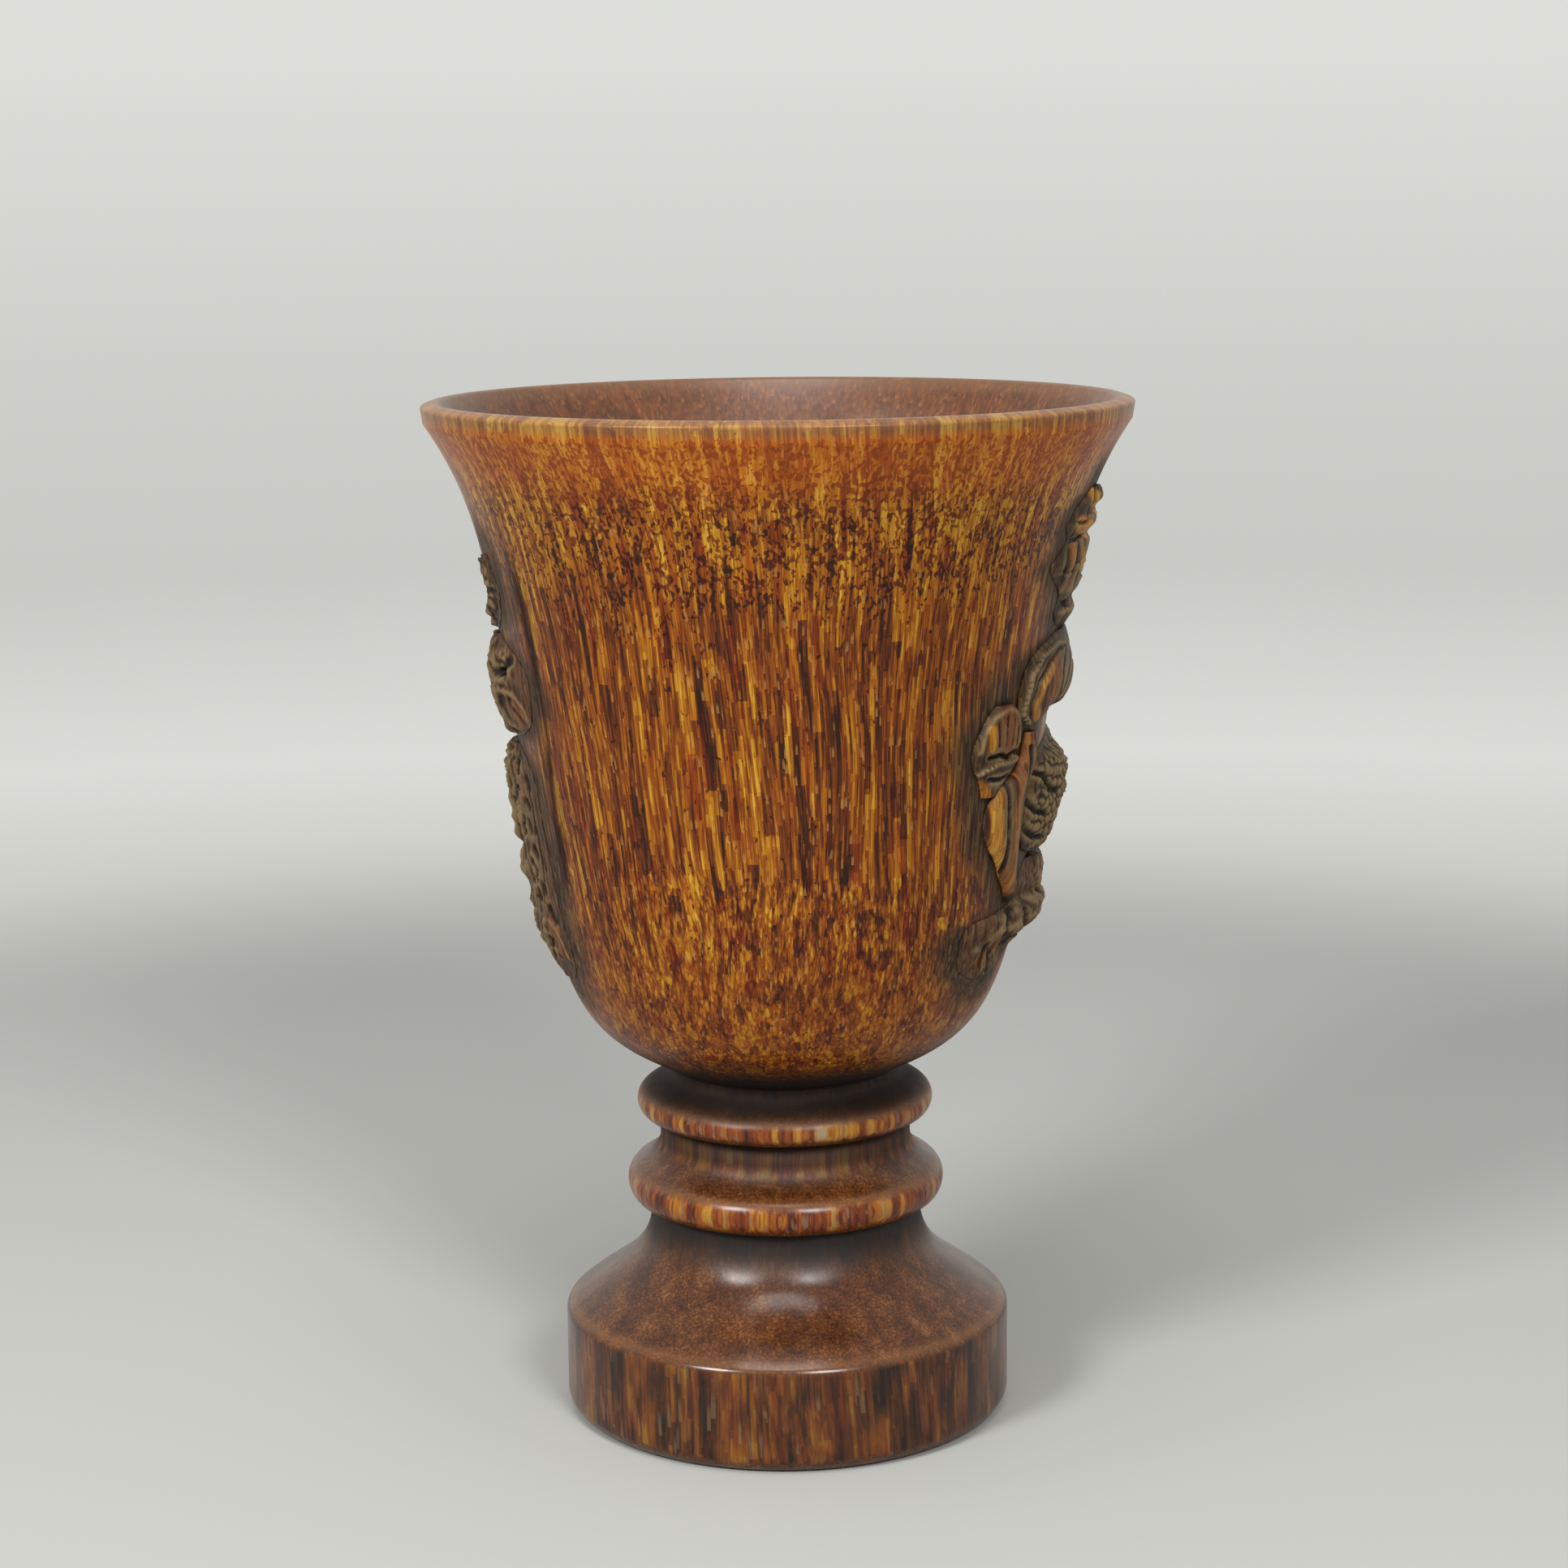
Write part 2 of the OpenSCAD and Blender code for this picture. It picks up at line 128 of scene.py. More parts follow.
# materials
class Nodes:
    # short hand for the node tree of a material or a world
    def __init__(self, owner, output="OutputMaterial"):
        owner.use_nodes = True
        self.owner, self.tree = owner, owner.node_tree
        self.tree.nodes.clear()
        self.output = self.add(output)

    def add(self, kind, settings=None, **inputs):
        # i0, i1 and so on feed a socket by its number, any other word by its name
        made = self.tree.nodes.new("ShaderNode" + kind)
        for key, value in (settings or {}).items():
            setattr(made, key, value)
        for key, value in inputs.items():
            byNumber = key[0] == "i" and key[1:].isdigit()
            self.feed(made.inputs[int(key[1:]) if byNumber else key.replace("_", " ")], value)
        return made

    def feed(self, socket, value):
        if isinstance(value, bpy.types.NodeSocket):
            self.tree.links.new(value, socket)
        elif value is not None:
            socket.default_value = value

    def math(self, operation, a, b=None, c=None, clamp=False):
        return self.add("Math", {"operation": operation, "use_clamp": clamp}, i0=a, i1=b, i2=c).outputs[0]

    def times(self, a, b, plus=None, clamp=False):
        return self.math("MULTIPLY" if plus is None else "MULTIPLY_ADD", a, b, plus, clamp)

    def plus(self, a, b):
        return self.math("ADD", a, b)

    def minus(self, a, b, clamp=False):
        return self.math("SUBTRACT", a, b, None, clamp)

    def most(self, a, b):
        return self.math("MAXIMUM", a, b)

    def vector(self, operation, a, b=None):
        return self.add("VectorMath", {"operation": operation}, i0=a, i1=b).outputs[0]

    def length(self, a):
        return self.add("VectorMath", {"operation": "LENGTH"}, i0=a).outputs["Value"]

    def split(self, a):
        return self.add("SeparateXYZ", None, i0=a).outputs

    def join(self, x, y, z=None):
        return self.add("CombineXYZ", None, i0=x, i1=y, i2=z).outputs[0]

    def between(self, value, low, high, toLow=0.0, toHigh=1.0):
        return self.add("MapRange", {"interpolation_type": "SMOOTHSTEP"},
                        i0=value, i1=low, i2=high, i3=toLow, i4=toHigh).outputs[0]

    def blend(self, factor, a, b, kind="MIX"):
        made = self.add("Mix", {"data_type": "RGBA", "blend_type": kind})
        for number, value in ((0, factor), (6, a), (7, b)):
            self.feed(made.inputs[number], value)
        return made.outputs[2]

    def ramp(self, value, stops):
        # each stop is a place from 0 to 1 and a screen colour
        made = self.add("ValToRGB", None, i0=value)
        while len(made.color_ramp.elements) < len(stops):
            made.color_ramp.elements.new(0.5)
        for element, (place, *colour) in zip(made.color_ramp.elements, stops):
            element.position, element.color = place, tone(*colour)
        return made.outputs[0]

    def noise(self, place, detail=2.0, roughness=0.5, scale=1.0, output=0):
        return self.add("TexNoise", None, Vector=place, Scale=scale, Detail=detail,
                        Roughness=roughness).outputs[output]

    def stretch(self, place, width, length, seed=0.0):
        # one unit is as wide and as long as the texture's grain, in millimetres
        return self.vector("ADD", self.vector("MULTIPLY", place, (1 / width, 1 / width, 1 / length)),
                           (seed, seed * 1.7, seed * 0.6))

    def attribute(self, name):
        return self.add("Attribute", {"attribute_name": name}).outputs["Fac"]


# the fibres of the horn run up the cup and follow the wall where it flares
grain = dict(middle=78.0, radius=32.0, follow=0.22, twist=0.0011, sway=3.6, swaySize=(0.06, 0.06, 0.03))
middleGrey = (0.5, 0.5, 0.5)  # what a noise colour swings round
seeds = dict(strand=3.0, thread=17.0, bundle=8.3, ribbon=29.0, fleck=41.0, red=51.0, column=67.0,
             curl=23.0, cluster=13.0, patch=3.0, dots=7.0, mottle=9.0, patina=2.0, waves=4.0)


def fibres(n):
    # place in the cup, place in the horn, where x and y hardly change along a fibre, and height
    place = n.vector("MULTIPLY", n.add("TexCoord").outputs["Object"], (1000, 1000, 1000))
    sway = n.noise(n.vector("MULTIPLY", place, grain["swaySize"]), 1.0, output="Color")
    sway = n.vector("MULTIPLY", n.vector("SUBTRACT", sway, middleGrey), (grain["sway"], grain["sway"], 0))
    height = n.split(place)[2]
    turned = n.add("VectorRotate", {"rotation_type": "Z_AXIS"}, Vector=n.vector("ADD", place, sway),
                   Angle=n.times(n.minus(height, grain["middle"]), grain["twist"]))
    x, y, z = n.split(turned.outputs[0])
    flare = n.math("DIVIDE", n.most(n.length(n.join(x, y)), grain["radius"]), grain["radius"])
    pulled = n.math("POWER", flare, grain["follow"] - 1)
    return place, n.join(n.times(x, pulled), n.times(y, pulled), z), height


def bundleOf(n, horn, size, seed):
    # fibres side by side: a random tone for each blunt-ended length, how far from its middle line, and
    # how far along it
    width, length = size
    spread = n.vector("ADD", n.vector("MULTIPLY", horn, (1 / width, 1 / width, 0)), (seed, seed, 0))
    cell = n.add("TexVoronoi", {"voronoi_dimensions": "2D"}, Scale=1.0, Vector=spread)
    name = n.split(cell.outputs["Color"])
    reach = n.times(name[0], 9.0, n.math("DIVIDE", n.split(horn)[2], length))
    where = n.join(n.times(name[0], 60.0), n.times(name[1], 60.0), n.math("FLOOR", reach))
    value = n.add("TexWhiteNoise", {"noise_dimensions": "3D"}, Vector=where)
    return value.outputs["Value"], cell.outputs["Distance"], n.math("FRACT", reach)


def dullHorn(n, horn, threadTone):
    # grey-brown patina round the carvings and in them, in streaks along the fibres
    streaks = n.times(n.noise(n.stretch(horn, 0.5, 8.0, seeds["patina"]), 3.0, 0.6), 0.75,
                      n.times(threadTone, 0.28))
    return n.ramp(streaks, [(0.32, 20, 12, 6), (0.45, 46, 29, 15), (0.57, 72, 50, 28), (0.69, 94, 69, 40),
                            (0.84, 126, 101, 62)])


def curlsOver(n, curls, place, height, mixed):
    # short dark curls: a dense band under the lip, few in the middle, fine ones on the round of the bowl
    wobble = n.vector("SUBTRACT", n.noise(place, 1.0, scale=0.9, output="Color"), middleGrey)
    bent = n.vector("ADD", place, n.vector("MULTIPLY", wobble, (curls["bend"],) * 3))
    edge = n.plus(n.times(n.noise(n.stretch(place, *curls["patch"], seeds["patch"]), 3.0),
                          curls["patchReach"], -curls["patchReach"] / 2), height)
    low, full, high, gone = curls["band"]
    band = n.times(n.between(edge, low, full), n.between(height, high, gone, 1.0, 0.0))
    top = curls["bellyTop"]
    belly = n.between(edge, top - 10.0, top, 1.0, 0.0)
    cluster = n.times(n.noise(n.stretch(place, *curls["cluster"], seeds["cluster"])),
                      curls["clusterReach"], -curls["clusterReach"] / 2)
    finer = n.times(belly, curls["bellyFine"], 1.0)
    curl = n.noise(n.vector("MULTIPLY", n.stretch(bent, *curls["size"], seeds["curl"]),
                            n.join(finer, finer, finer)), 1.0)
    share = n.times(n.most(band, belly), curls["share"] - curls["few"], curls["few"])
    dark = n.between(n.minus(n.plus(curl, cluster), share), -0.02, 0.03, 1.0, 0.0)
    # between the curls the horn is calmer than elsewhere
    calm = n.most(n.times(band, curls["calm"]),
                  n.times(n.between(edge, top, top + 16.0, 1.0, 0.0), curls["bellyCalm"]))
    ground = n.times(band, curls["ground"] - curls["bellyGround"], curls["bellyGround"])
    mixed = n.plus(n.times(mixed, n.minus(1.0, calm)), n.times(calm, ground))
    return n.minus(mixed, n.times(dark, curls["depth"]))


def polish(n, colour, rough, bumps, bumpHeight, look):
    bump = n.add("Bump", None, Height=bumps, Distance=bumpHeight, Strength=look["bump"]).outputs[0]
    shader = n.add("BsdfPrincipled", None, Base_Color=colour, Roughness=rough, Normal=bump)
    shader.inputs["IOR"].default_value = 1.5
    shader.inputs["Specular IOR Level"].default_value = look["gloss"]
    n.feed(n.output.inputs[0], shader.outputs[0])
    return n.owner


# heights on the cup where the horn changes towards the lip
lipZone = dict(lift=(110.0, 121.0), warm=(120.0, 128.0), end=(130.2, 131.2))
redTint, columnTint = (1.05, 0.62, 0.55, 1), (0.62, 0.26, 0.24, 1)


def hornMaterial(name, look):
    n = Nodes(bpy.data.materials.new(name))
    place, horn, height = fibres(n)
    strandTone, strandAway = bundleOf(n, horn, look["strandSize"], seeds["strand"])[:2]
    threadTone, threadAway = bundleOf(n, horn, look["threadSize"], seeds["thread"])[:2]
    bundle = n.noise(n.stretch(horn, *look["bundleSize"], seeds["bundle"]), 3.0)
    mixed = n.times(threadTone, look["thread"], n.times(strandTone, look["strand"], look["base"]))
    if look.get("ribbon"):
        ribbonTone = bundleOf(n, horn, look["ribbonSize"], seeds["ribbon"])[0]
        mixed = n.times(n.minus(ribbonTone, 0.5), look["ribbon"], mixed)
    mixed = n.times(n.minus(bundle, 0.5), look["bundle"], mixed)
    # the dark line between two strands, and a painted highlight along the middle of a thread
    mixed = n.minus(mixed, n.times(n.between(strandAway, 0.40, 0.60), look["seam"]))
    mixed = n.times(n.between(height, *lipZone["lift"]), look["lipLift"], mixed)
    crest = n.between(threadAway, 0.05, 0.40, 1.0, 0.0)
    mixed = n.times(n.minus(crest, 0.5), look["crest"], mixed)
    if look.get("curls"):
        mixed = curlsOver(n, look["curls"], place, height, mixed)
    colour = n.ramp(mixed, look["stops"])
    redder = n.between(n.noise(n.stretch(horn, 1.5, 13.0, seeds["red"]), 3.0), 0.50, 0.68)
    colour = n.blend(n.times(redder, look["red"]), colour, redTint, "MULTIPLY")
    columnTone = bundleOf(n, horn, look["columnSize"], seeds["column"])[0]
    column = n.between(columnTone, 1 - look["columnShare"], 1.02 - look["columnShare"])
    colour = n.blend(n.times(column, look["column"]), colour, columnTint, "MULTIPLY")
    # pale pink flecks at the lower end of a few strands, partly painted glints of light on the fibres
    fleckTone, fleckEnd = bundleOf(n, horn, look["fleckSize"], seeds["fleck"])[::2]
    fleck = n.times(n.between(fleckTone, 1 - look["fleckShare"], 1.02 - look["fleckShare"]),
                    n.between(fleckEnd, 0.35, 0.75, 1.0, 0.0))
    colour = n.blend(n.times(fleck, look["flecks"]), colour, tone(*look["fleckColour"]))
    # end grain: darker and redder where the surface cuts across the fibres
    facing = n.split(n.add("NewGeometry").outputs["Normal"])[2]
    across = n.between(n.math("ABSOLUTE", facing), *look["acrossZone"])
    dots = n.times(n.noise(n.stretch(place, 0.36, 0.36, seeds["dots"]), 2.0, 0.6), 0.60,
                   n.times(n.noise(n.stretch(horn, 2.6, 9.0, seeds["mottle"]), 4.0, 0.6),
                           2 * look["mottle"], 0.19 - look["mottle"]))
    colour = n.blend(n.times(across, look["across"]), colour, n.ramp(dots, look["endStops"]))
    if look.get("lipWarmth"):
        lip = n.times(n.between(height, *lipZone["warm"]), n.between(height, *lipZone["end"], 1.0, 0.0))
        colour = n.blend(n.times(lip, look["lipWarmth"]), colour, tone(*look["lipColour"]))
    # edges worn pale and smooth, with a painted highlight along them; patina round the carvings; dirt in the
    # joints, with painted shade under the parts above and painted shadow beside the carvings
    colour = n.blend(n.attribute("rub"), colour, tone(*look["wearHighlightColour"]))
    patina, grime = n.attribute("patina"), n.attribute("grime")
    colour = n.blend(patina, colour, dullHorn(n, horn, threadTone))
    colour = n.blend(n.times(grime, 0.95), colour, tone(14, 8, 4))
    dull = n.times(n.most(n.times(patina, 0.5), grime), 0.5, look["rough"] - 0.08)
    rough = n.plus(n.times(n.noise(n.stretch(place, 2.5, 2.5), 3.0), 0.16), dull)
    waves = n.noise(n.stretch(place, 3.2, 5.0, seeds["waves"]))
    return polish(n, colour, rough, n.times(waves, 0.7, n.times(threadTone, 0.05)), 0.08 * mm, look)


endStops = [(0.30, 40, 16, 6), (0.46, 78, 36, 12), (0.58, 110, 58, 18), (0.72, 148, 90, 30)]
curlLook = dict(depth=0.38, size=(0.50, 1.15), share=0.465, few=0.27, bend=1.2, patch=(7.0, 9.0),
                patchReach=16.0, cluster=(3.0, 4.0), clusterReach=0.30, band=(104.0, 116.0, 129.6, 131.0),
                bellyTop=57.0, bellyFine=0.35, calm=0.26, bellyCalm=0.32, ground=0.72, bellyGround=0.60)
bowlLook = dict(strandSize=(0.44, 7.0), threadSize=(0.24, 3.4), bundleSize=(2.6, 22.0),
                ribbonSize=(1.0, 16.0), strand=0.34, thread=0.32, bundle=0.42, ribbon=0.38, base=0.19,
                seam=0.14, crest=0.16, curls=curlLook, flecks=0.38, fleckColour=(190, 138, 72),
                fleckSize=(0.24, 1.9), fleckShare=0.07, red=0.34, column=0.72, columnSize=(0.9, 12.0),
                columnShare=0.13,
                stops=[(0.02, 36, 15, 5), (0.18, 66, 28, 7), (0.34, 98, 44, 8), (0.50, 130, 66, 10),
                       (0.66, 156, 98, 14), (0.82, 178, 130, 26), (1.0, 200, 160, 60)],
                endStops=endStops, across=0.20, acrossZone=(0.55, 0.98), mottle=0.25, lipWarmth=0.30,
                lipLift=0.20, lipColour=(212, 98, 22), wearHighlightColour=(128, 96, 70), rough=0.32, gloss=0.22,
                bump=0.5)
# inside, the pale colour near the lip is partly wear and partly a painted sheen
insideLook = dict(strandSize=(0.50, 0.9), threadSize=(0.30, 0.6), bundleSize=(3.0, 5.0), strand=0.22,
                  thread=0.30, bundle=0.5, base=0.08, seam=0.06, crest=0.0, flecks=0.3,
                  fleckColour=(170, 108, 60), fleckSize=(0.32, 0.9), fleckShare=0.08, red=0.5, column=0.4,
                  columnSize=(1.0, 3.0), columnShare=0.12,
                  stops=[(0.1, 60, 28, 12), (0.35, 90, 46, 18), (0.6, 116, 68, 30), (0.85, 146, 98, 50)],
                  endStops=endStops, across=0.3, acrossZone=(0.5, 0.95), mottle=0.25, lipWarmth=0.12,
                  lipLift=0.0, lipColour=(150, 114, 86), wearHighlightColour=(132, 98, 72), rough=0.32, gloss=0.46,
                  bump=0.4)
footLook = dict(strandSize=(0.80, 9.0), threadSize=(0.34, 4.0), bundleSize=(2.8, 9.0), strand=0.24,
                thread=0.20, bundle=1.25, base=0.14, seam=0.05, crest=0.05, flecks=0.24,
                fleckColour=(140, 118, 84), fleckSize=(0.40, 5.0), fleckShare=0.08, red=0.5, column=0.5,
                columnSize=(1.6, 30.0), columnShare=0.12,
                stops=[(0.04, 28, 14, 6), (0.22, 58, 30, 9), (0.38, 88, 44, 12), (0.52, 108, 60, 14),
                       (0.68, 124, 84, 20), (0.86, 144, 108, 38), (1.0, 134, 112, 66)],
                endStops=[(0.28, 32, 15, 6), (0.42, 62, 31, 12), (0.54, 90, 50, 22), (0.72, 138, 92, 50)],
                across=0.94, acrossZone=(0.10, 0.55), mottle=0.26, lipLift=0.0, wearHighlightColour=(142, 96, 58),
                rough=0.20, gloss=0.40, bump=0.5)
ringLook = dict(footLook, strandSize=(1.0, 60.0), threadSize=(0.30, 20.0), bundleSize=(2.3, 26.0),
                strand=0.32, thread=0.18, bundle=1.5, base=0.20, seam=0.12, flecks=0.6,
                fleckColour=(124, 104, 84), fleckShare=0.2, red=0.35, column=0.36,
                stops=[(0.04, 50, 21, 9), (0.22, 88, 36, 12), (0.40, 122, 57, 17), (0.56, 148, 88, 22),
                       (0.70, 168, 120, 30), (0.84, 142, 122, 92), (1.0, 154, 140, 118)],
                acrossZone=(0.34, 0.70), gloss=0.34, rough=0.25)
hornOutside = hornMaterial("bowlHorn", bowlLook)
hornInside = hornMaterial("bowlInsideHorn", insideLook)
hornFoot = hornMaterial("footHorn", footLook)
hornRing = hornMaterial("ringHorn", ringLook)

carvedLook = dict(threadSize=(0.27, 2.8), rough=0.38, smoother=-0.12, bump=0.5, gloss=0.20,
                  warm=[(0.28, 44, 17, 6), (0.46, 88, 38, 11), (0.64, 130, 68, 18), (0.85, 164, 104, 34)],
                  gold=[(0.28, 124, 72, 14), (0.5, 174, 116, 26), (0.85, 206, 162, 70)])


def carvedMaterial(name, look):
    # hand-cut horn: the same patina, warm horn on what stands proud with a pale painted highlight, dirt and
    # painted shade in the cuts
    n = Nodes(bpy.data.materials.new(name))
    place, horn = fibres(n)[:2]
    threadTone = bundleOf(n, horn, look["threadSize"], seeds["thread"])[0]
    streak = n.noise(n.stretch(horn, 0.45, 4.0, seeds["patina"]), 4.0, 0.6)
    mixed = n.times(threadTone, 0.30, n.times(streak, 0.85))
    # the first half of the mark "warm" goes from patina to warm horn, the second half on to gold
    warmth = n.attribute("warm")
    colour = n.blend(n.times(warmth, 2.0, clamp=True), dullHorn(n, horn, threadTone),
                     n.ramp(mixed, look["warm"]))
    colour = n.blend(n.minus(n.times(warmth, 2.0), 1.0, clamp=True), colour, n.ramp(mixed, look["gold"]))
    # pale painted highlight on what stands proud, partly wear
    pale = n.times(n.attribute("pale"), n.times(warmth, -0.5, 0.55))
    colour = n.blend(pale, colour, tone(158, 134, 94))
    # dirt and painted shade in the cuts and hollows
    colour = n.blend(n.times(n.attribute("grime"), 0.97, clamp=True), colour, tone(14, 9, 6))
    rough = n.plus(n.times(n.noise(n.stretch(place, 1.2, 1.2), 3.0), 0.2),
                   n.times(warmth, look["smoother"], look["rough"]))
    fine = n.noise(n.stretch(place, 0.3, 0.4, seeds["waves"]), 4.0, 0.6)
    return polish(n, colour, rough, fine, 0.12 * mm, look)


hornCarved = carvedMaterial("carvedHorn", carvedLook)
print("horn finishes made")


# meshes
def solid(name, points, faces, marks, materials, node, faceMaterial=None):
    mesh = bpy.data.meshes.new(name)
    mesh.from_pydata((np.array(points) * mm).tolist(), [], faces)
    for key, values in marks.items():
        mesh.attributes.new(key, "FLOAT", "POINT").data.foreach_set("value", np.array(values, np.float32))
    for material in materials:
        mesh.materials.append(material)
    if faceMaterial is not None:
        mesh.polygons.foreach_set("material_index", np.array(faceMaterial, np.int32))
    mesh.polygons.foreach_set("use_smooth", np.ones(len(mesh.polygons), bool))
    mesh.update()
    piece = bpy.data.objects.new(name, mesh)
    bpy.context.scene.collection.objects.link(piece)
    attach(piece, "root")
    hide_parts(node)


def ringsOf(rings, turns):
    # numbers of the points of rings that follow one point on the axis, the same one step further
    # round, and the fan inside the first ring
    number = 1 + np.arange(rings)[:, None] * turns + np.arange(turns)[None, :]
    following = np.roll(number, -1, 1)
    fan = [[0, int(b), int(a)] for a, b in zip(number[0], following[0])]
    return number, following, fan


def lathe(name, outline, turns, mark, materials, node, secondFrom=None):
    # outline runs from the axis at the bottom to the axis at the top, outer side first; rings from
    # number secondFrom on take the second material
    outline = np.array(outline, float)
    keep = np.ones(len(outline), bool)
    keep[1:] = np.hypot(*(outline[1:] - outline[:-1]).T) > 1e-5
    outline = outline[keep]
    w = np.radians(np.arange(turns) * 360 / turns - 90)
    rings = outline[1:-1]
    r, z = rings[:, 0][:, None], rings[:, 1][:, None]
    ring = np.stack([r * np.cos(w), r * np.sin(w), z + 0 * w], 2).reshape(-1, 3)
    points = np.vstack([[0, 0, outline[0, 1]], ring, [0, 0, outline[-1, 1]]])
    number, following, low = ringsOf(len(rings), turns)
    quads = np.stack([number[:-1], following[:-1], following[1:], number[1:]], 2).reshape(-1, 4)
    last = len(points) - 1
    high = [[last, int(a), int(b)] for a, b in zip(number[-1], following[-1])]
    ringMarks = mark(np.repeat(rings[:, 0], turns), np.repeat(rings[:, 1], turns),
                     np.tile(w, len(rings)), np.repeat(np.arange(len(rings)), turns))
    marks = {key: np.concatenate([[0], values, [0]]) for key, values in ringMarks.items()}
    faceMaterial = None
    if secondFrom is not None:
        bands = np.repeat(np.arange(len(rings) - 1) >= secondFrom, turns)
        faceMaterial = np.concatenate([[0] * turns, bands, [1] * turns])
    solid(name, points, low + quads.tolist() + high, marks, materials, node, faceMaterial)


# bowl: the outside runs from its seat through the waist to the lip, the inside back down to the floor
bowl = dict(rim=45.0, height=86.5, seat=14.8, belly=24.7, bellyRise=5.0, waist=32.3, waistHeight=32.4,
            lean=0.133, flare=33.5, lipRound=1.7, lip=2.6, wall=3.2, floor=9.5, baseZ=45.9, turns=400,
            cornerRound=0.45, lipFlat=43.3, roundness=0.82, straight=0.62, lipPull=0.225, lipSteps=8)
flareDir = np.array([math.sin(math.radians(bowl["flare"])), math.cos(math.radians(bowl["flare"]))])
flareOut = np.array([flareDir[1], -flareDir[0]])
waist = np.array([bowl["waist"], bowl["waistHeight"]])
upDir = np.array([bowl["lean"], 1.0])
aboveWaist = bowl["height"] - bowl["waistHeight"]
overWaist = bowl["straight"] * aboveWaist * upDir
underLip = bowl["lipPull"] * aboveWaist * flareDir
lipCentre = np.array([bowl["rim"] - bowl["lipRound"], bowl["height"] - bowl["lipRound"]])
lipStart = lipCentre + bowl["lipRound"] * flareOut
bowlOutside = np.vstack([
    pull([[bowl["seat"], 0], [bowl["belly"], bowl["bellyRise"]],
          waist - bowl["roundness"] * bowl["waistHeight"] * upDir, waist], 60),
    pull([waist, waist + overWaist, lipStart - underLip, lipStart], 90)[1:]])
innerRound = bowl["lip"] - bowl["lipRound"]
innerCentre = np.array([bowl["rim"] - bowl["lipRound"], bowl["height"] - innerRound])
innerLip = innerCentre - innerRound * flareOut
innerWaist = waist - [bowl["wall"], 0]
bowlInside = np.vstack([
    pull([innerLip, innerLip - underLip, innerWaist + overWaist, innerWaist], 34),
    pull([innerWaist, innerWaist - 0.5 * (bowl["waistHeight"] - bowl["floor"]) * upDir,
          [0.93 * bowl["belly"], bowl["floor"]], [0, bowl["floor"]]], 24)[1:]])
lipCorner = np.array([bowl["rim"] - bowl["cornerRound"], bowl["height"] - 0.80])
lipTurn = np.vstack([arc(lipCorner, bowl["cornerRound"], -20, 70, 10),
                     pull([[44.70, 86.12], [44.2, 86.30], [43.8, 86.5], [bowl["lipFlat"], 86.5]], 8)[1:],
                     arc(innerCentre, innerRound, 90, 180 - bowl["flare"], bowl["lipSteps"])[1:-1]])


def bowlRadius(h):
    return np.interp(h, bowlOutside[:, 1], bowlOutside[:, 0])


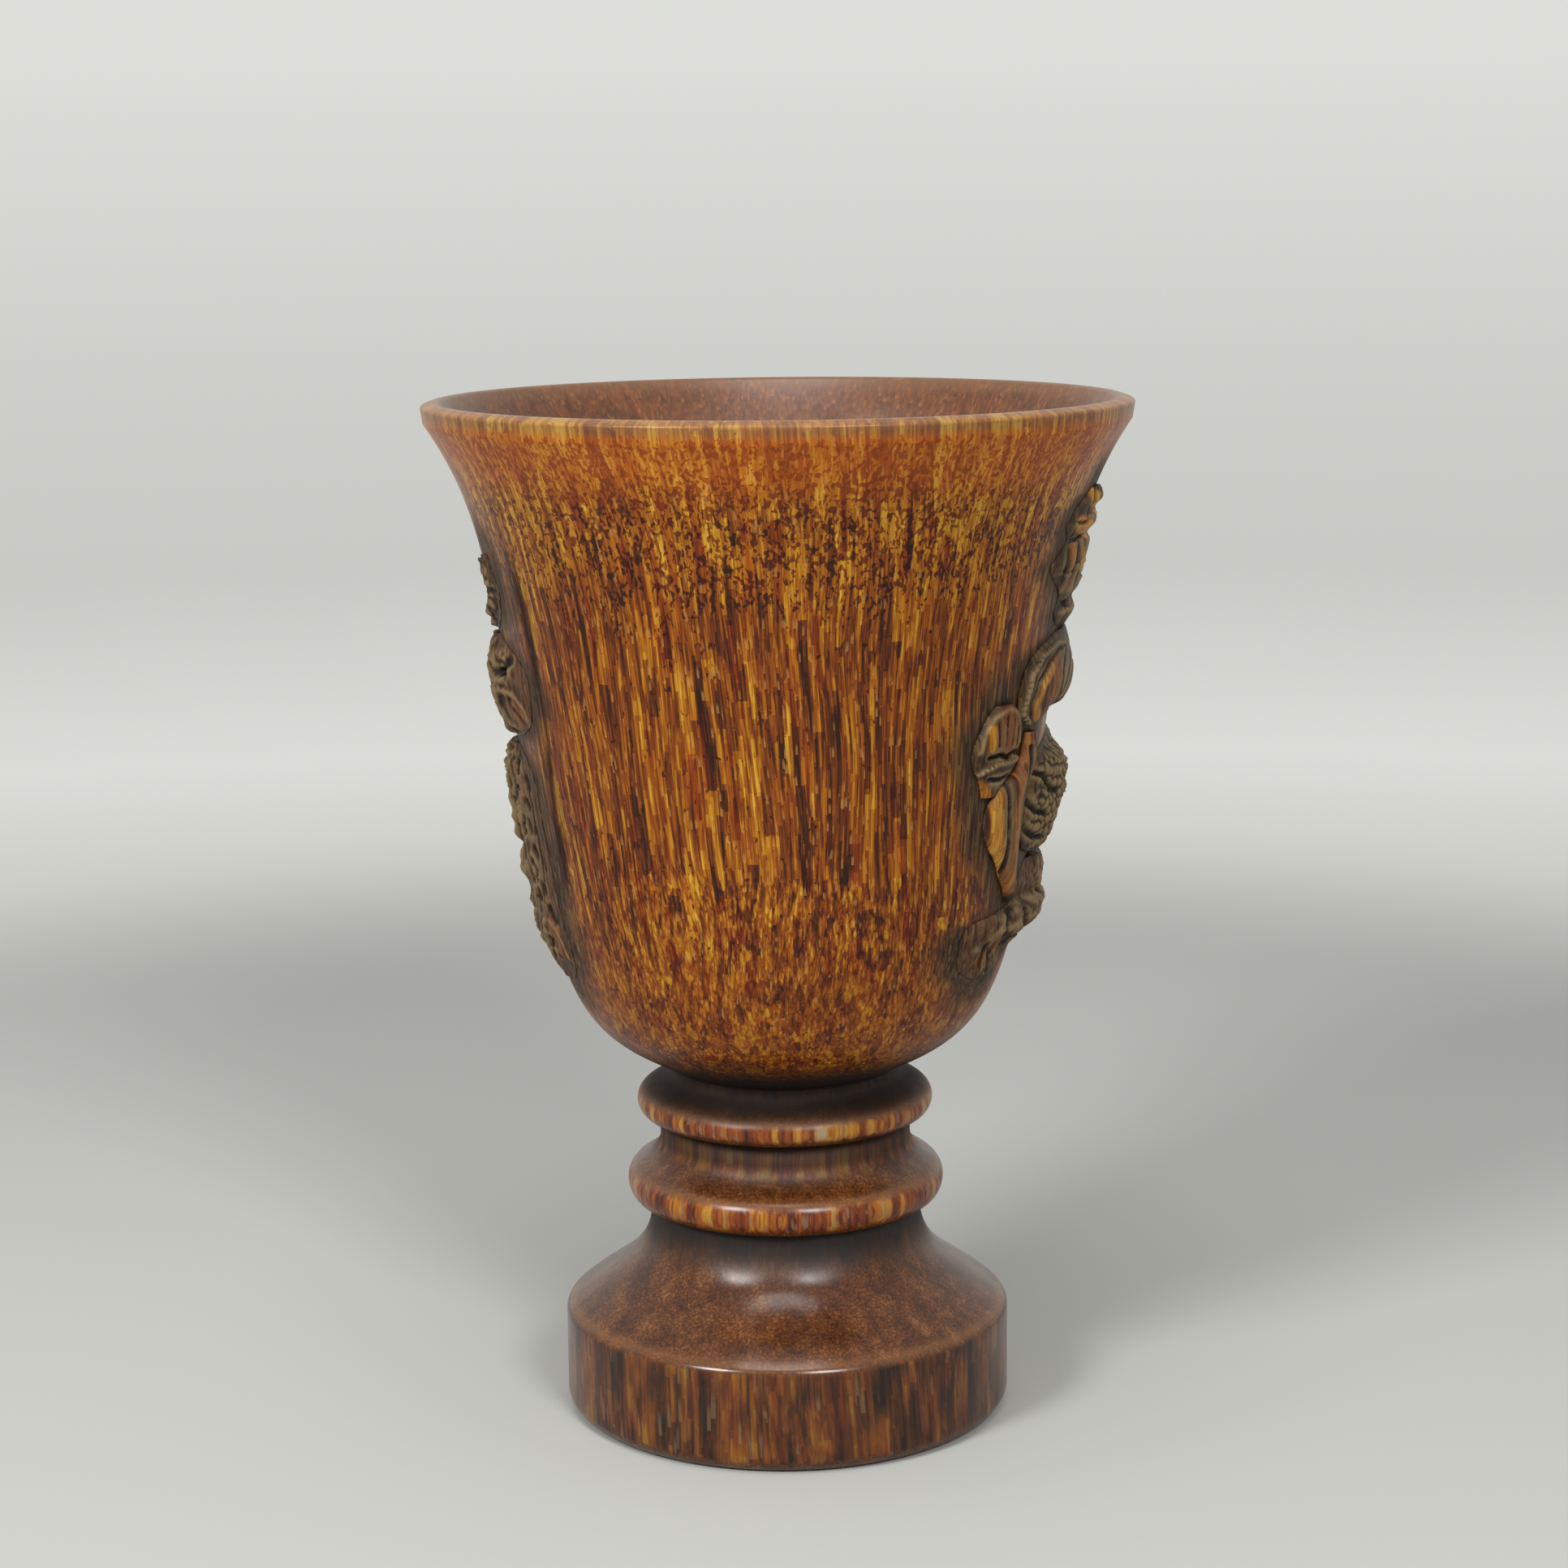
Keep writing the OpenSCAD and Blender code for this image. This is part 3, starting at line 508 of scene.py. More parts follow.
# rows of a carving: height up the bowl as a share of it, back edge and front edge in degrees from the side
# of the cup towards the front, thickness as a share of the deepest, and where the crest lies
relief = dict(deepest=3.4, edge=0.38, fullness=0.7, front=0.08, sunk=0.12, step=0.21, thinnest=0.12,
              blur=14, dirtAndShadeDepth=0.16, paleHeight=0.14)
layout = dict(
    bambooStalk=[
        [0.675, 8, 18, 0.20, 0.4], [0.694, 2, 21, 0.34, 0.4], [0.712, 3, 20, 0.20, 0.5],
        [0.728, 0, 21, 0.34, 0.4], [0.764, -2, 28, 0.40, 0.5], [0.792, 0, 24, 0.38, 0.4],
        [0.805, 1, 23, 0.22, 0.4], [0.822, 0, 25, 0.42, 0.4], [0.843, 2, 23, 0.24, 0.4],
        [0.857, 3, 21, 0.38, 0.4], [0.874, 9, 16, 0.20, 0.5]],
    fungusCap=[
        [0.543, 25, 32, 0.32, 0.5], [0.554, 14, 33.5, 0.45, 0.5], [0.567, -5, 33.5, 0.62, 0.45],
        [0.585, -11, 33.6, 0.74, 0.45], [0.606, -11, 33, 0.72, 0.45], [0.633, -8, 31, 0.50, 0.45],
        [0.652, -2, 26, 0.34, 0.45], [0.667, 5, 17, 0.20, 0.5]],
    sideLeaf=[
        [0.448, 38, 43, 0.25, 0.5], [0.469, 35.5, 44, 0.32, 0.5], [0.487, 32, 46, 0.36, 0.5],
        [0.504, 31.6, 47, 0.30, 0.5], [0.521, 31.6, 47, 0.42, 0.5], [0.545, 32.4, 45.6, 0.45, 0.5],
        [0.565, 33.6, 43.6, 0.40, 0.5], [0.580, 35.6, 41.2, 0.25, 0.5]],
    longLeaf=[
        [0.275, 25.6, 27, 0.25, 0.5], [0.302, 25.6, 30, 0.42, 0.5], [0.336, 26, 34, 0.48, 0.5],
        [0.383, 26, 40, 0.50, 0.45], [0.427, 25.6, 41, 0.46, 0.4], [0.455, 25.2, 37, 0.45, 0.4],
        [0.475, 24.8, 31.6, 0.48, 0.4], [0.495, 24.4, 29.5, 0.52, 0.5], [0.530, 24.4, 28.5, 0.36, 0.5]],
    pineTrunk=[
        [0.336, -8, 15, 0.50, 0.5], [0.350, -16, 21, 0.72, 0.5], [0.394, -22, 23, 0.96, 0.55],
        [0.440, -25, 22.8, 1.0, 0.6], [0.470, -27, 22, 0.86, 0.6], [0.487, -28.5, 20, 0.44, 0.5],
        [0.500, -29.5, 10, 0.34, 0.4], [0.516, -30, -8, 0.40, 0.4], [0.556, -31, -15, 0.42, 0.4],
        [0.600, -31, -17.5, 0.40, 0.4], [0.645, -30, -16, 0.38, 0.4], [0.690, -26, -11, 0.36, 0.5],
        [0.730, -22, -9, 0.34, 0.5], [0.765, -18, -10, 0.26, 0.5]],
    rockLedge=[
        [0.170, 27, 36, 0.16, 0.5], [0.186, 21, 42, 0.22, 0.4], [0.206, 17, 44, 0.26, 0.3],
        [0.220, 10, 44, 0.48, 0.25], [0.238, -15, 44, 0.84, 0.30], [0.258, -19, 40, 0.90, 0.35],
        [0.270, -18, 22, 0.72, 0.6], [0.295, -16, 21, 0.68, 0.6], [0.324, -8, 15, 0.50, 0.6]],
    plumTwig=[
        [0.676, 4, 13, 0.28, 0.4], [0.690, 7, 16, 0.22, 0.4], [0.702, 6, 18, 0.32, 0.4],
        [0.719, 10, 19, 0.26, 0.4], [0.730, 12, 20, 0.30, 0.4], [0.764, 13, 18.5, 0.28, 0.4],
        [0.786, 15, 17.5, 0.22, 0.5]],
    plumSpray=[
        [0.518, 4, 14, 0.26, 0.5], [0.526, -4, 20, 0.42, 0.5], [0.545, -11, 25.5, 0.56, 0.5],
        [0.566, -5, 27, 0.60, 0.5], [0.590, -13, 27.5, 0.66, 0.5], [0.612, -9, 27.5, 0.66, 0.5],
        [0.637, -3, 24.5, 0.50, 0.5], [0.654, 2, 18.5, 0.34, 0.5], [0.667, 6, 12, 0.26, 0.5]],
    plumBranch=[
        [0.516, -20, -10, 0.44, 0.5], [0.535, -24, -14, 0.42, 0.5], [0.560, -26, -17, 0.38, 0.5],
        [0.600, -25, -17.5, 0.36, 0.5], [0.640, -21, -14.5, 0.34, 0.5], [0.680, -16, -9, 0.32, 0.5],
        [0.715, -10, -3, 0.30, 0.5], [0.745, -4, 3, 0.28, 0.5], [0.770, 1, 6, 0.22, 0.5]],
    gardenRock=[
        [0.158, 14, 22, 0.18, 0.5], [0.175, 4, 25.5, 0.26, 0.4], [0.209, -6, 26.5, 0.54, 0.4],
        [0.248, -14, 25.2, 0.58, 0.4], [0.275, -12, 24.8, 0.58, 0.4], [0.310, -18, 24.5, 0.66, 0.4],
        [0.348, -15, 23.5, 0.60, 0.4], [0.385, -21, 23, 0.60, 0.4], [0.415, -17, 22.8, 0.66, 0.4],
        [0.445, -18, 22.5, 0.66, 0.45], [0.468, -13, 21, 0.62, 0.45], [0.490, -10, 17.6, 0.44, 0.5],
        [0.502, 0, 13, 0.30, 0.5]])
tufts = [[0.665, -39, 3.7], [0.745, -32, 4.2], [0.812, -14, 4.5], [0.575, -42, 3.6], [0.705, -49, 3.3],
         [0.818, -27, 3.5]]
blossoms = [[0.645, -33, 2.9], [0.722, -25, 3.7], [0.790, -11, 3.2]]
rightPieces = ("bambooStalk", "fungusCap", "sideLeaf", "longLeaf", "pineTrunk", "rockLedge")
leftPieces = ("plumTwig", "plumSpray", "plumBranch", "gardenRock")


def nearCarving(angle, h, names, discs):
    # distance in millimetres, over the bowl, from each point to the nearest carving
    nearest = np.full(angle.shape, 99.0)
    perDegree = bowlRadius(h) * math.pi / 180
    for name in names:
        rows = np.array(layout[name])
        heights = rows[:, 0] * bowl["height"]
        back, front = np.interp(h, heights, rows[:, 1]), np.interp(h, heights, rows[:, 2])
        side = np.maximum(0, np.maximum(back - angle, angle - front)) * perDegree
        above = np.maximum(0, np.maximum(heights[0] - h, h - heights[-1]))
        nearest = np.minimum(nearest, np.hypot(side, above))
    for share, place, radius in discs:
        d = np.hypot((angle - place) * perDegree, h - share * bowl["height"]) - radius
        nearest = np.minimum(nearest, np.maximum(0, d))
    return nearest


# patina round the carvings; painted shade at the bottom of the bowl, darker in a thin line round the carvings
# and a painted shadow under the leaves; a dark run down the wall beside the left ones; the lip worn pale with
# a painted highlight
wear = dict(rightReach=6.0, leftReach=5.4, uneven=6.0, runAngle=31.5, runWidth=2.2, runFrom=(20, 30),
            runTo=(72, 62), runDepth=0.95, lipWearAndHighlight=0.52, lipFrom=(84.7, 85.5))


def bowlMarks(r, z, w, ring):
    x, y = np.cos(w), np.sin(w)
    sideAngle = np.degrees(np.arctan2(-y, np.abs(x)))
    h = z - bowl["baseZ"]
    outer = ring < len(bowlOutside) + 3
    d = np.where(x > 0, nearCarving(sideAngle, h, rightPieces, tufts),
                 nearCarving(sideAngle, h, leftPieces, blossoms))
    blotch = grainNoise(sideAngle * 0.5, h * 0.12, 3)
    reach = np.where(x > 0, wear["rightReach"], wear["leftReach"]) + wear["uneven"] * (blotch - 0.4)
    patina = smooth(1.0, 0.2, d / reach)
    under = nearCarving(sideAngle, h, ("longLeaf", "sideLeaf"), [])
    # painted shade: a thin dark line round the carvings, a painted shadow under the leaves on the right, and
    # painted shade at the bottom of the bowl above the rings
    grime = 0.25 * smooth(0.5, 0.0, d) + 0.6 * smooth(0.9, 0.0, under) * (x > 0) + smooth(6.5, 1.6, h)
    run = bell(sideAngle + 3 * (blotch - 0.5), wear["runAngle"], wear["runWidth"])
    run = run * smooth(*wear["runFrom"], h) * smooth(*wear["runTo"], h)
    grime = grime + wear["runDepth"] * run * (x < 0) * smooth(
        0.2, 0.45, grainNoise(sideAngle * 1.6, h * 0.16, 9))
    return {"patina": np.where(outer, patina, 0), "grime": np.where(outer, np.clip(grime, 0, 1), 0),
            "rub": wear["lipWearAndHighlight"] * smooth(*wear["lipFrom"], h)}


# every turned piece above the foot has a glued pin below, which fits the hole in the piece under it
seat = dict(radius=8.0, length=4.0, gap=0.05, room=0.3)
pin = [[0, -seat["length"]], [seat["radius"], -seat["length"]], [seat["radius"], 0]]


def hole(top):
    radius, floor = seat["radius"] + seat["gap"], top - seat["length"] - seat["room"]
    return [[radius, top], [radius, floor], [0, floor]]


bowlProfile = np.vstack([pin, bowlOutside, lipTurn, bowlInside]) + [0, bowl["baseZ"]]
insideFrom = len(pin) + len(bowlOutside) + len(lipTurn) - bowl["lipSteps"] - 2
lathe("drinkingBowl", bowlProfile, bowl["turns"], bowlMarks, [hornOutside, hornInside], "bowl",
      insideFrom)
print("bowl turned")

# rings: painted shade under the piece above begins at dark, measured down from the joint above, and is full
# at darkFull
ringPieces = dict(
    lowerKnop=dict(node="lower_knop", z=27.9, r=20.75, band=4.1, round=2.6, over=58, waist=16.4,
                   hollow=8.4, h=11.3, dark=6.4, darkFull=2.6, darkness=0.86),
    upperKnop=dict(node="upper_knop", z=39.2, r=19.35, band=3.1, round=2.1, over=60, waist=14.8,
                   hollow=6.2, h=6.7, dark=4.9, darkFull=2.0, darkness=0.98))


def ringProfile(s):
    # the band leans in below its widest line and turns over softly above it
    r, h, widest = s["r"], s["h"], 0.62 * s["band"]
    over = math.radians(s["over"])
    slopeTop = np.array([r - s["round"] + s["round"] * math.cos(over),
                         widest + s["round"] * math.sin(over)])
    return np.vstack([
        pin, pull([[r - 1.5, 0], [r - 0.7, 0.1], [r, 0.5 * widest], [r, widest]], 16),
        arc([r - s["round"], widest], s["round"], 0, s["over"], 16)[1:],
        pull([slopeTop, slopeTop + [-1.3, 0.8], [s["waist"] + 0.1, s["hollow"] - 1.9],
              [s["waist"], s["hollow"]]], 24)[1:],
        [[s["waist"], h]], hole(h)]) + [0, s["z"]]


def ringMarks(s):
    def marks(r, z, w, ring):
        h = z - s["z"]
        # painted shade under the piece above, and a dark line at the lower joint
        joint = smooth(s["dark"], s["darkFull"], s["h"] - h) * s["darkness"] + smooth(0.5, 0.0, h) * 0.5
        # a painted highlight, partly wear, along the top of the band
        return {"patina": 0 * r, "grime": np.clip(joint, 0, 1), "rub": 0.35 * bell(h, s["band"] + 0.1, 0.5)}
    return marks


for name, s in ringPieces.items():
    lathe(name, ringProfile(s), 360, ringMarks(s), [hornRing], s["node"])
print("rings turned")

foot = dict(r=29.2, h=27.9, side=14.2, edge=2.2, shoulder=1.5, slope=40, neck=17.7, neckAt=26.2, reach=6.2,
            hollow=(18.1, 19.7), stand=6.0, dish=1.2, dark=(7.5, 2.0), darkness=0.97, wornHighlight=0.30, turns=420)
shoulderCentre = np.array([foot["r"] - foot["shoulder"], foot["side"] - foot["shoulder"]])
slope = math.radians(foot["slope"])
shoulderEnd = shoulderCentre + foot["shoulder"] * np.array([math.sin(slope), math.cos(slope)])
standR = foot["r"] - foot["edge"] - foot["stand"]
footProfile = np.vstack([
    pull([[0, foot["dish"]], [0.6 * standR, foot["dish"]], [0.9 * standR, 0.6 * foot["dish"]],
          [standR, 0]], 16),
    arc([foot["r"] - foot["edge"], foot["edge"]], foot["edge"], -90, 0, 12),
    [[foot["r"], z] for z in np.linspace(foot["edge"] + 1, foot["side"] - foot["shoulder"] - 1, 8)],
    arc(shoulderCentre, foot["shoulder"], 0, 90 - foot["slope"], 10),
    pull([shoulderEnd, shoulderEnd + foot["reach"] * np.array([-math.cos(slope), math.sin(slope)]),
          foot["hollow"], [foot["neck"], foot["neckAt"]]], 70)[1:],
    [[foot["neck"], foot["h"]]], hole(foot["h"])])


def footMarks(r, z, w, ring):
    # painted shade under the lower ring, and darker along the bottom edge
    joint = foot["darkness"] * smooth(*foot["dark"], foot["h"] - z)
    return {"patina": 0 * r, "grime": np.clip(joint + 0.35 * smooth(0.8, 0.0, z), 0, 1),
            # a painted highlight, partly wear, along the shoulder
            "rub": foot["wornHighlight"] * bell(z, foot["side"] - 0.2, 0.5)}


lathe("discFoot", footProfile, foot["turns"], footMarks, [hornFoot], "foot")
print("foot turned")


# carvings
def onBowl(side, angle, h, out):
    a = np.radians(angle)
    r = bowlRadius(h) + out
    return np.stack([side * r * np.cos(a), -r * np.sin(a), bowl["baseZ"] + h], -1)


def flat(angle, z):
    # place on the bowl's unrolled wall, in millimetres
    return np.asarray(angle, float) * math.pi / 180 * bowlRadius(np.asarray(z, float) - bowl["baseZ"])


def lineDistance(x, z, points):
    points = np.array(points, float)
    px, pz = flat(points[:, 0], points[:, 1]), points[:, 1]
    nearest = np.full(x.shape, 99.0)
    for i in range(max(1, len(px) - 1)):
        j = min(i + 1, len(px) - 1)
        dx, dz = px[j] - px[i], pz[j] - pz[i]
        t = np.clip(((x - px[i]) * dx + (z - pz[i]) * dz) / max(dx * dx + dz * dz, 1e-9), 0, 1)
        nearest = np.minimum(nearest, np.hypot(x - px[i] - t * dx, z - pz[i] - t * dz))
    return nearest


def throughRows(rows, u):
    # a smooth curve through every row
    rows = np.array(rows, float)
    last = len(rows) - 1
    i = np.minimum(np.floor(u).astype(int), last - 1)
    t = (u - i)[:, None]
    a, b, c, d = rows[np.maximum(i - 1, 0)], rows[i], rows[i + 1], rows[np.minimum(i + 2, last)]
    return (b + (c - a) * t / 2 + (2 * a - 5 * b + 4 * c - d) * t ** 2 / 2
            + (3 * (b - c) + d - a) * t ** 3 / 2)


def soften(values, times):
    for i in range(times):
        padded = np.pad(values, 1, mode="edge")
        values = (padded[1:-1, 1:-1] * 2 + padded[:-2, 1:-1] + padded[2:, 1:-1]
                  + padded[1:-1, :-2] + padded[1:-1, 2:]) / 6
    return values


# skins of the carvings, all in millimetres
barkSkin = dict(wide=1.1, high=1.45, gap=0.20, gapDepth=0.36, uneven=0.14, dome=0.25, rough=0.16)
rockSkin = dict(fold=0.55, level=-0.28, pit=0.75, pitFrom=(0.60, 0.74), rough=0.28)
culmSkin = dict(wide=2.9, joint=6.0, dome=0.9, ring=0.22, groove=0.20, rough=0.10)


def bark(x, z, seed):
    s = barkSkin
    bent = x + 0.8 * (grainNoise(x * 0.4, z * 0.4, seed) - 0.5)
    first, second, name = cells(bent / s["wide"], z / s["high"], seed)
    return (-s["gapDepth"] * bell(second, first, s["gap"]) + s["uneven"] * (name - 0.5)
            + s["dome"] * (0.5 - first) + s["rough"] * (grainNoise(x * 1.6, z * 1.1, seed + 1) - 0.5))


def rock(x, z, seed):
    # folds and hollows of a weathered garden rock
    s = rockSkin
    bent = x + 2.2 * (grainNoise(x * 0.22, z * 0.18, seed) - 0.5)
    fold = 1 - 2 * np.abs(grainNoise(bent * 0.42, z * 0.20, seed + 2, 3) - 0.5)
    hollow = grainNoise(bent * 0.55 + 7, z * 0.36, seed + 4, 3)
    return (s["fold"] * fold ** 5 + s["level"] - s["pit"] * smooth(*s["pitFrom"], hollow)
            + s["rough"] * (grainNoise(x * 1.3, z * 0.9, seed + 3) - 0.5))


def culms(x, z, seed):
    # a clump of jointed stems side by side
    s = culmSkin
    u = (x + 0.10 * z + 0.9 * (ripple(x * 0.2, z * 0.12, seed) - 0.5)) / s["wide"]
    i = np.floor(u)
    f = 2 * (u - i) - 1
    joint = (z + s["joint"] * scatter(i, 0 * i, seed)) / s["joint"]
    g = joint - np.floor(joint) - 0.5
    return (s["dome"] * (np.sqrt(np.clip(1 - f * f, 0, 1)) - 0.8) + s["ring"] * bell(g, 0, 0.05)
            - s["groove"] * bell(g, 0.07, 0.02) + s["rough"] * (grainNoise(x * 1.6, z * 0.3, seed) - 0.5))


def smoothSkin(x, z, seed):
    return 0.08 * (grainNoise(x * 1.8, z * 0.6, seed) - 0.5)


def gridFaces(number, under):
    # the two skins of a sheet, and the strips round its four edges
    quads = [np.stack([number[:-1, :-1], number[:-1, 1:], number[1:, 1:], number[1:, :-1]], 2).reshape(-1, 4),
             np.stack([under[:-1, :-1], under[1:, :-1], under[1:, 1:], under[:-1, 1:]], 2).reshape(-1, 4)]
    for a, b in ((number[0], under[0]), (number[-1][::-1], under[-1][::-1]),
                 (number[::-1, 0], under[::-1, 0]), (number[:, -1], under[:, -1])):
        quads.append(np.stack([a[1:], a[:-1], b[:-1], b[1:]], 1))
    return np.vstack(quads).tolist()


def discFaces(number, under):
    # the two skins of a disc, the strip round it, and the small caps at its middle
    quads = []
    for grid, turned in ((number, 1), (under, -1)):
        following = np.roll(grid, -1, 1)
        made = np.stack([grid[:-1], grid[1:], following[1:], following[:-1]], 2).reshape(-1, 4)
        quads.append(made[:, ::turned])
    quads.append(np.stack([number[-1], under[-1], np.roll(under[-1], -1), np.roll(number[-1], -1)], 1))
    return np.vstack(quads).tolist() + [number[0].tolist(), under[0][::-1].tolist()]


# cuts of the needle wheels and of the blossoms
needleCut = dict(count=17, depth=0.34, dirtAndShade=0.8, button=0.25, buttonSize=0.13)
petalCut = dict(depth=0.42, dirtAndShade=0.8, cup=0.40, cupAt=0.42, stamens=11, stamen=0.22)


class Relief:
    # one carved piece: any number of closed islands that lie on the bowl
    def __init__(self, side):
        self.side, self.points, self.faces = side, [], []
        self.marks = dict(grime=[], pale=[], warm=[])

    def island(self, angle, h, thick, marks, facesOf):
        # the carved skin and the same points a little inside the wall
        number = sum(len(p) for p in self.points) + np.arange(thick.size).reshape(thick.shape)
        faces = facesOf(number, number + thick.size)
        self.faces += [face[::-1] for face in faces] if self.side > 0 else faces
        for out in (thick, 0 * thick - relief["sunk"]):
            self.points.append(onBowl(self.side, angle, h, out).reshape(-1, 3))
        # the points inside the wall are dark: painted shade at the foot of the carving's sides
        for key in self.marks:
            self.marks[key] += [np.clip(marks[key], 0, 1).ravel(),
                                np.full(thick.size, 0.9 if key == "grime" else 0.0)]

    def mass(self, name, skin, seed, ragged, lines, tint=0.0, melt=0.0):
        # a body from its rows of the layout; tint warms it, melt thins its front edge into the wall
        rows = layout[name]
        tall = (rows[-1][0] - rows[0][0]) * bowl["height"]
        wide = max(flat(row[2] - row[1], bowl["baseZ"] + row[0] * bowl["height"]) for row in rows)
        perRow = max(4, int(math.ceil(tall / (len(rows) - 1) / relief["step"])))
        u = np.linspace(0, len(rows) - 1, (len(rows) - 1) * perRow + 1)
        share, back, front, depth, crest = (column[:, None] for column in throughRows(rows, u).T)
        v = (0.5 - 0.5 * np.cos(np.linspace(0, np.pi, int(wide / relief["step"] * 1.25) + 2)))[None, :]
        h = share * bowl["height"] + 0 * v
        angle = back + (front - back) * v
        rise = np.where(v < crest, v / crest, (1 - v) / (1 - crest))
        # the edge that faces the camera runs out thin, the one at the back stands like a small step
        low = np.where(v < crest, relief["edge"], relief["front"])
        thick = relief["deepest"] * depth * (
            low + (1 - low) * np.sin(np.pi / 2 * np.clip(rise, 0, 1)) ** relief["fullness"])
        if melt:
            thick = thick * (1 - 0.75 * smooth(1 - melt, 1, v))
        z = bowl["baseZ"] + h
        push = ragged * (grainNoise(z * 0.9, 0 * z + seed, seed, 3) - 0.5) * 2 * np.abs(2 * v - 1) ** 3
        angle = angle - np.sign(v - 0.5) * np.abs(push) * 57.3 / bowlRadius(h)
        x = flat(angle, z)
        marks = dict(grime=0 * thick, pale=0 * thick, warm=0 * thick + tint)
        body = smooth(0.0, 0.12, v) * smooth(0.0, 0.12 + 0.5 * melt, 1 - v)
        thick = thick + skin(x, z, seed) * (0.1 + 0.9 * body) * np.clip(thick / 1.4, 0.35, 1.0)
        self.draw(x, z, thick, marks, lines)
        thick = np.maximum(thick, relief["thinnest"])
        # dirt and painted shade where the skin is lower than round it, and a pale painted highlight, partly
        # wear, on what stands proud
        blurred = soften(thick, relief["blur"])
        dirtAndShade = np.clip((blurred - thick) / relief["dirtAndShadeDepth"], 0, 1) * 0.9
        marks["grime"] = (marks["grime"] + dirtAndShade) * smooth(0.0, 0.10, 1 - v)
        marks["pale"] = marks["pale"] + np.clip((thick - blurred) / relief["paleHeight"], 0, 1)
        self.island(angle, h, thick, marks, gridFaces)

    def draw(self, x, z, thick, marks, lines):
        # tool marks: kind, points as angle and height, width and depth in millimetres
        # cuts, grooves and beads darken their hollows with dirt and painted shade; ridges and beads get a
        # pale painted highlight
        for kind, points, width, amount in lines:
            d = lineDistance(x, z, points)
            near = bell(d, 0, width)
            if kind == "cut":
                thick -= amount * near
                marks["grime"] += near * min(1.0, amount * 1.6)
            elif kind == "hollow":
                thick -= amount * near
            elif kind == "ridge":
                thick += amount * near
                marks["pale"] += 0.5 * near
            elif kind == "warm":
                marks["warm"][:] = np.maximum(marks["warm"], amount * smooth(width, 0.55 * width, d))
            elif kind == "rings":
                reach = smooth(9.4, 8.4, d) * smooth(0.8, 1.6, d)
                groove = np.clip(np.sin(d * 2 * np.pi / width), 0, 1) ** 3 * reach
                thick -= amount * groove
                marks["grime"] += 0.6 * groove
            elif kind == "beads":
                points = np.array(points, float)
                px, pz = flat(points[:, 0], points[:, 1]), points[:, 1]
                run = np.concatenate([[0], np.cumsum(np.hypot(np.diff(px), np.diff(pz)))])
                for at in np.arange(width * 0.8, run[-1], width * 1.7):
                    away = np.hypot(x - np.interp(at, run, px), z - np.interp(at, run, pz)) / width
                    thick += amount * np.sqrt(np.clip(1 - away ** 2, 0, 1))
                    marks["grime"] += 0.6 * bell(away, 1.05, 0.22)
                    marks["pale"] += 0.5 * np.clip(1 - away, 0, 1)

    def strip(self, points, widths, lift, thick, seed, tint=0.0, vein=0.0):
        # a leaf or a stem along a line; widths in millimetres at its points
        points = np.array(points, float)
        path = throughRows(np.column_stack([flat(points[:, 0], points[:, 1]), points[:, 1], widths, lift]),
                           np.linspace(0, len(points) - 1, (len(points) - 1) * 12 + 1))
        run = np.gradient(path[:, :2], axis=0)
        run /= np.maximum(np.hypot(run[:, 0], run[:, 1]), 1e-9)[:, None]
        v = (0.5 - 0.5 * np.cos(np.linspace(0, np.pi, 15)))[None, :]
        half = np.maximum(path[:, 2], 0.12)[:, None] / 2 * (2 * v - 1)
        x = path[:, 0][:, None] + run[:, 1][:, None] * half
        z = path[:, 1][:, None] - run[:, 0][:, None] * half
        h = z - bowl["baseZ"]
        angle = x / (bowlRadius(h) * math.pi / 180)
        bulge = np.sqrt(np.clip(1 - (2 * v - 1) ** 2, 0, 1))
        along = np.linspace(0, 1, len(path))[:, None]
        out = path[:, 3][:, None] + thick * bulge * np.sin(np.pi * np.clip(along, 0.04, 0.96)) ** 0.4
        out = out - vein * bell(2 * v, 1, 0.14)
        out = np.maximum(out + 0.05 * (grainNoise(x * 2, z * 2, seed) - 0.5), 0.1)
        # painted shade towards the strip's sides and along its vein, a pale painted highlight along its
        # middle
        marks = dict(grime=0 * out + 0.55 * (1 - bulge) ** 2 + vein * 1.2 * bell(2 * v, 1, 0.16),
                     pale=0.35 * bulge ** 4 + 0 * out, warm=0 * out + tint)
        self.island(angle, h, out, marks, gridFaces)

    def rosette(self, place, petals, scallop, thick, kind, seed, tint=0.0):
        # a flower or a wheel of needles
        share, middle, radius = place
        h0 = share * bowl["height"]
        spokes = 36 * (petals if petals < 9 else 5)
        turn = np.linspace(0, 2 * np.pi, spokes + 1)[None, :-1]
        ring = np.linspace(0.02, 1, 22)[:, None]
        seam = np.abs(np.sin(turn * petals / 2))
        reach = radius * ring * (1 - scallop * ring * (1 - seam))
        angle = middle + reach * np.cos(turn) * 180 / (math.pi * bowlRadius(h0))
        out = 0 * turn + thick * (
            relief["edge"] + (1 - relief["edge"]) * np.sin(np.pi / 2 * (1 - ring)) ** relief["fullness"])
        if kind == "needles":
            s = needleCut
            groove = 1 - np.abs(np.sin(turn * s["count"] + 0.35 * np.sin(turn * 5 + seed)))
            out = out - s["depth"] * smooth(0.12, 0.35, ring) * groove ** 1.4
            out = out + s["button"] * bell(ring, 0, s["buttonSize"])
            grime = s["dirtAndShade"] * smooth(0.10, 0.4, ring) * groove ** 2
        else:
            s = petalCut
            between = smooth(0.25, 0.5, ring)
            out = out - s["depth"] * between * bell(seam, 0, 0.22)
            out = out - s["cup"] * bell(ring, s["cupAt"], 0.16) + 0.10 * bell(ring, 0, 0.2)
            out = out + s["stamen"] * bell(ring, 0.30, 0.06) * np.clip(np.sin(turn * s["stamens"]), 0, 1)
            grime = s["dirtAndShade"] * between * bell(seam, 0, 0.2) + 0.45 * bell(ring, s["cupAt"], 0.14)
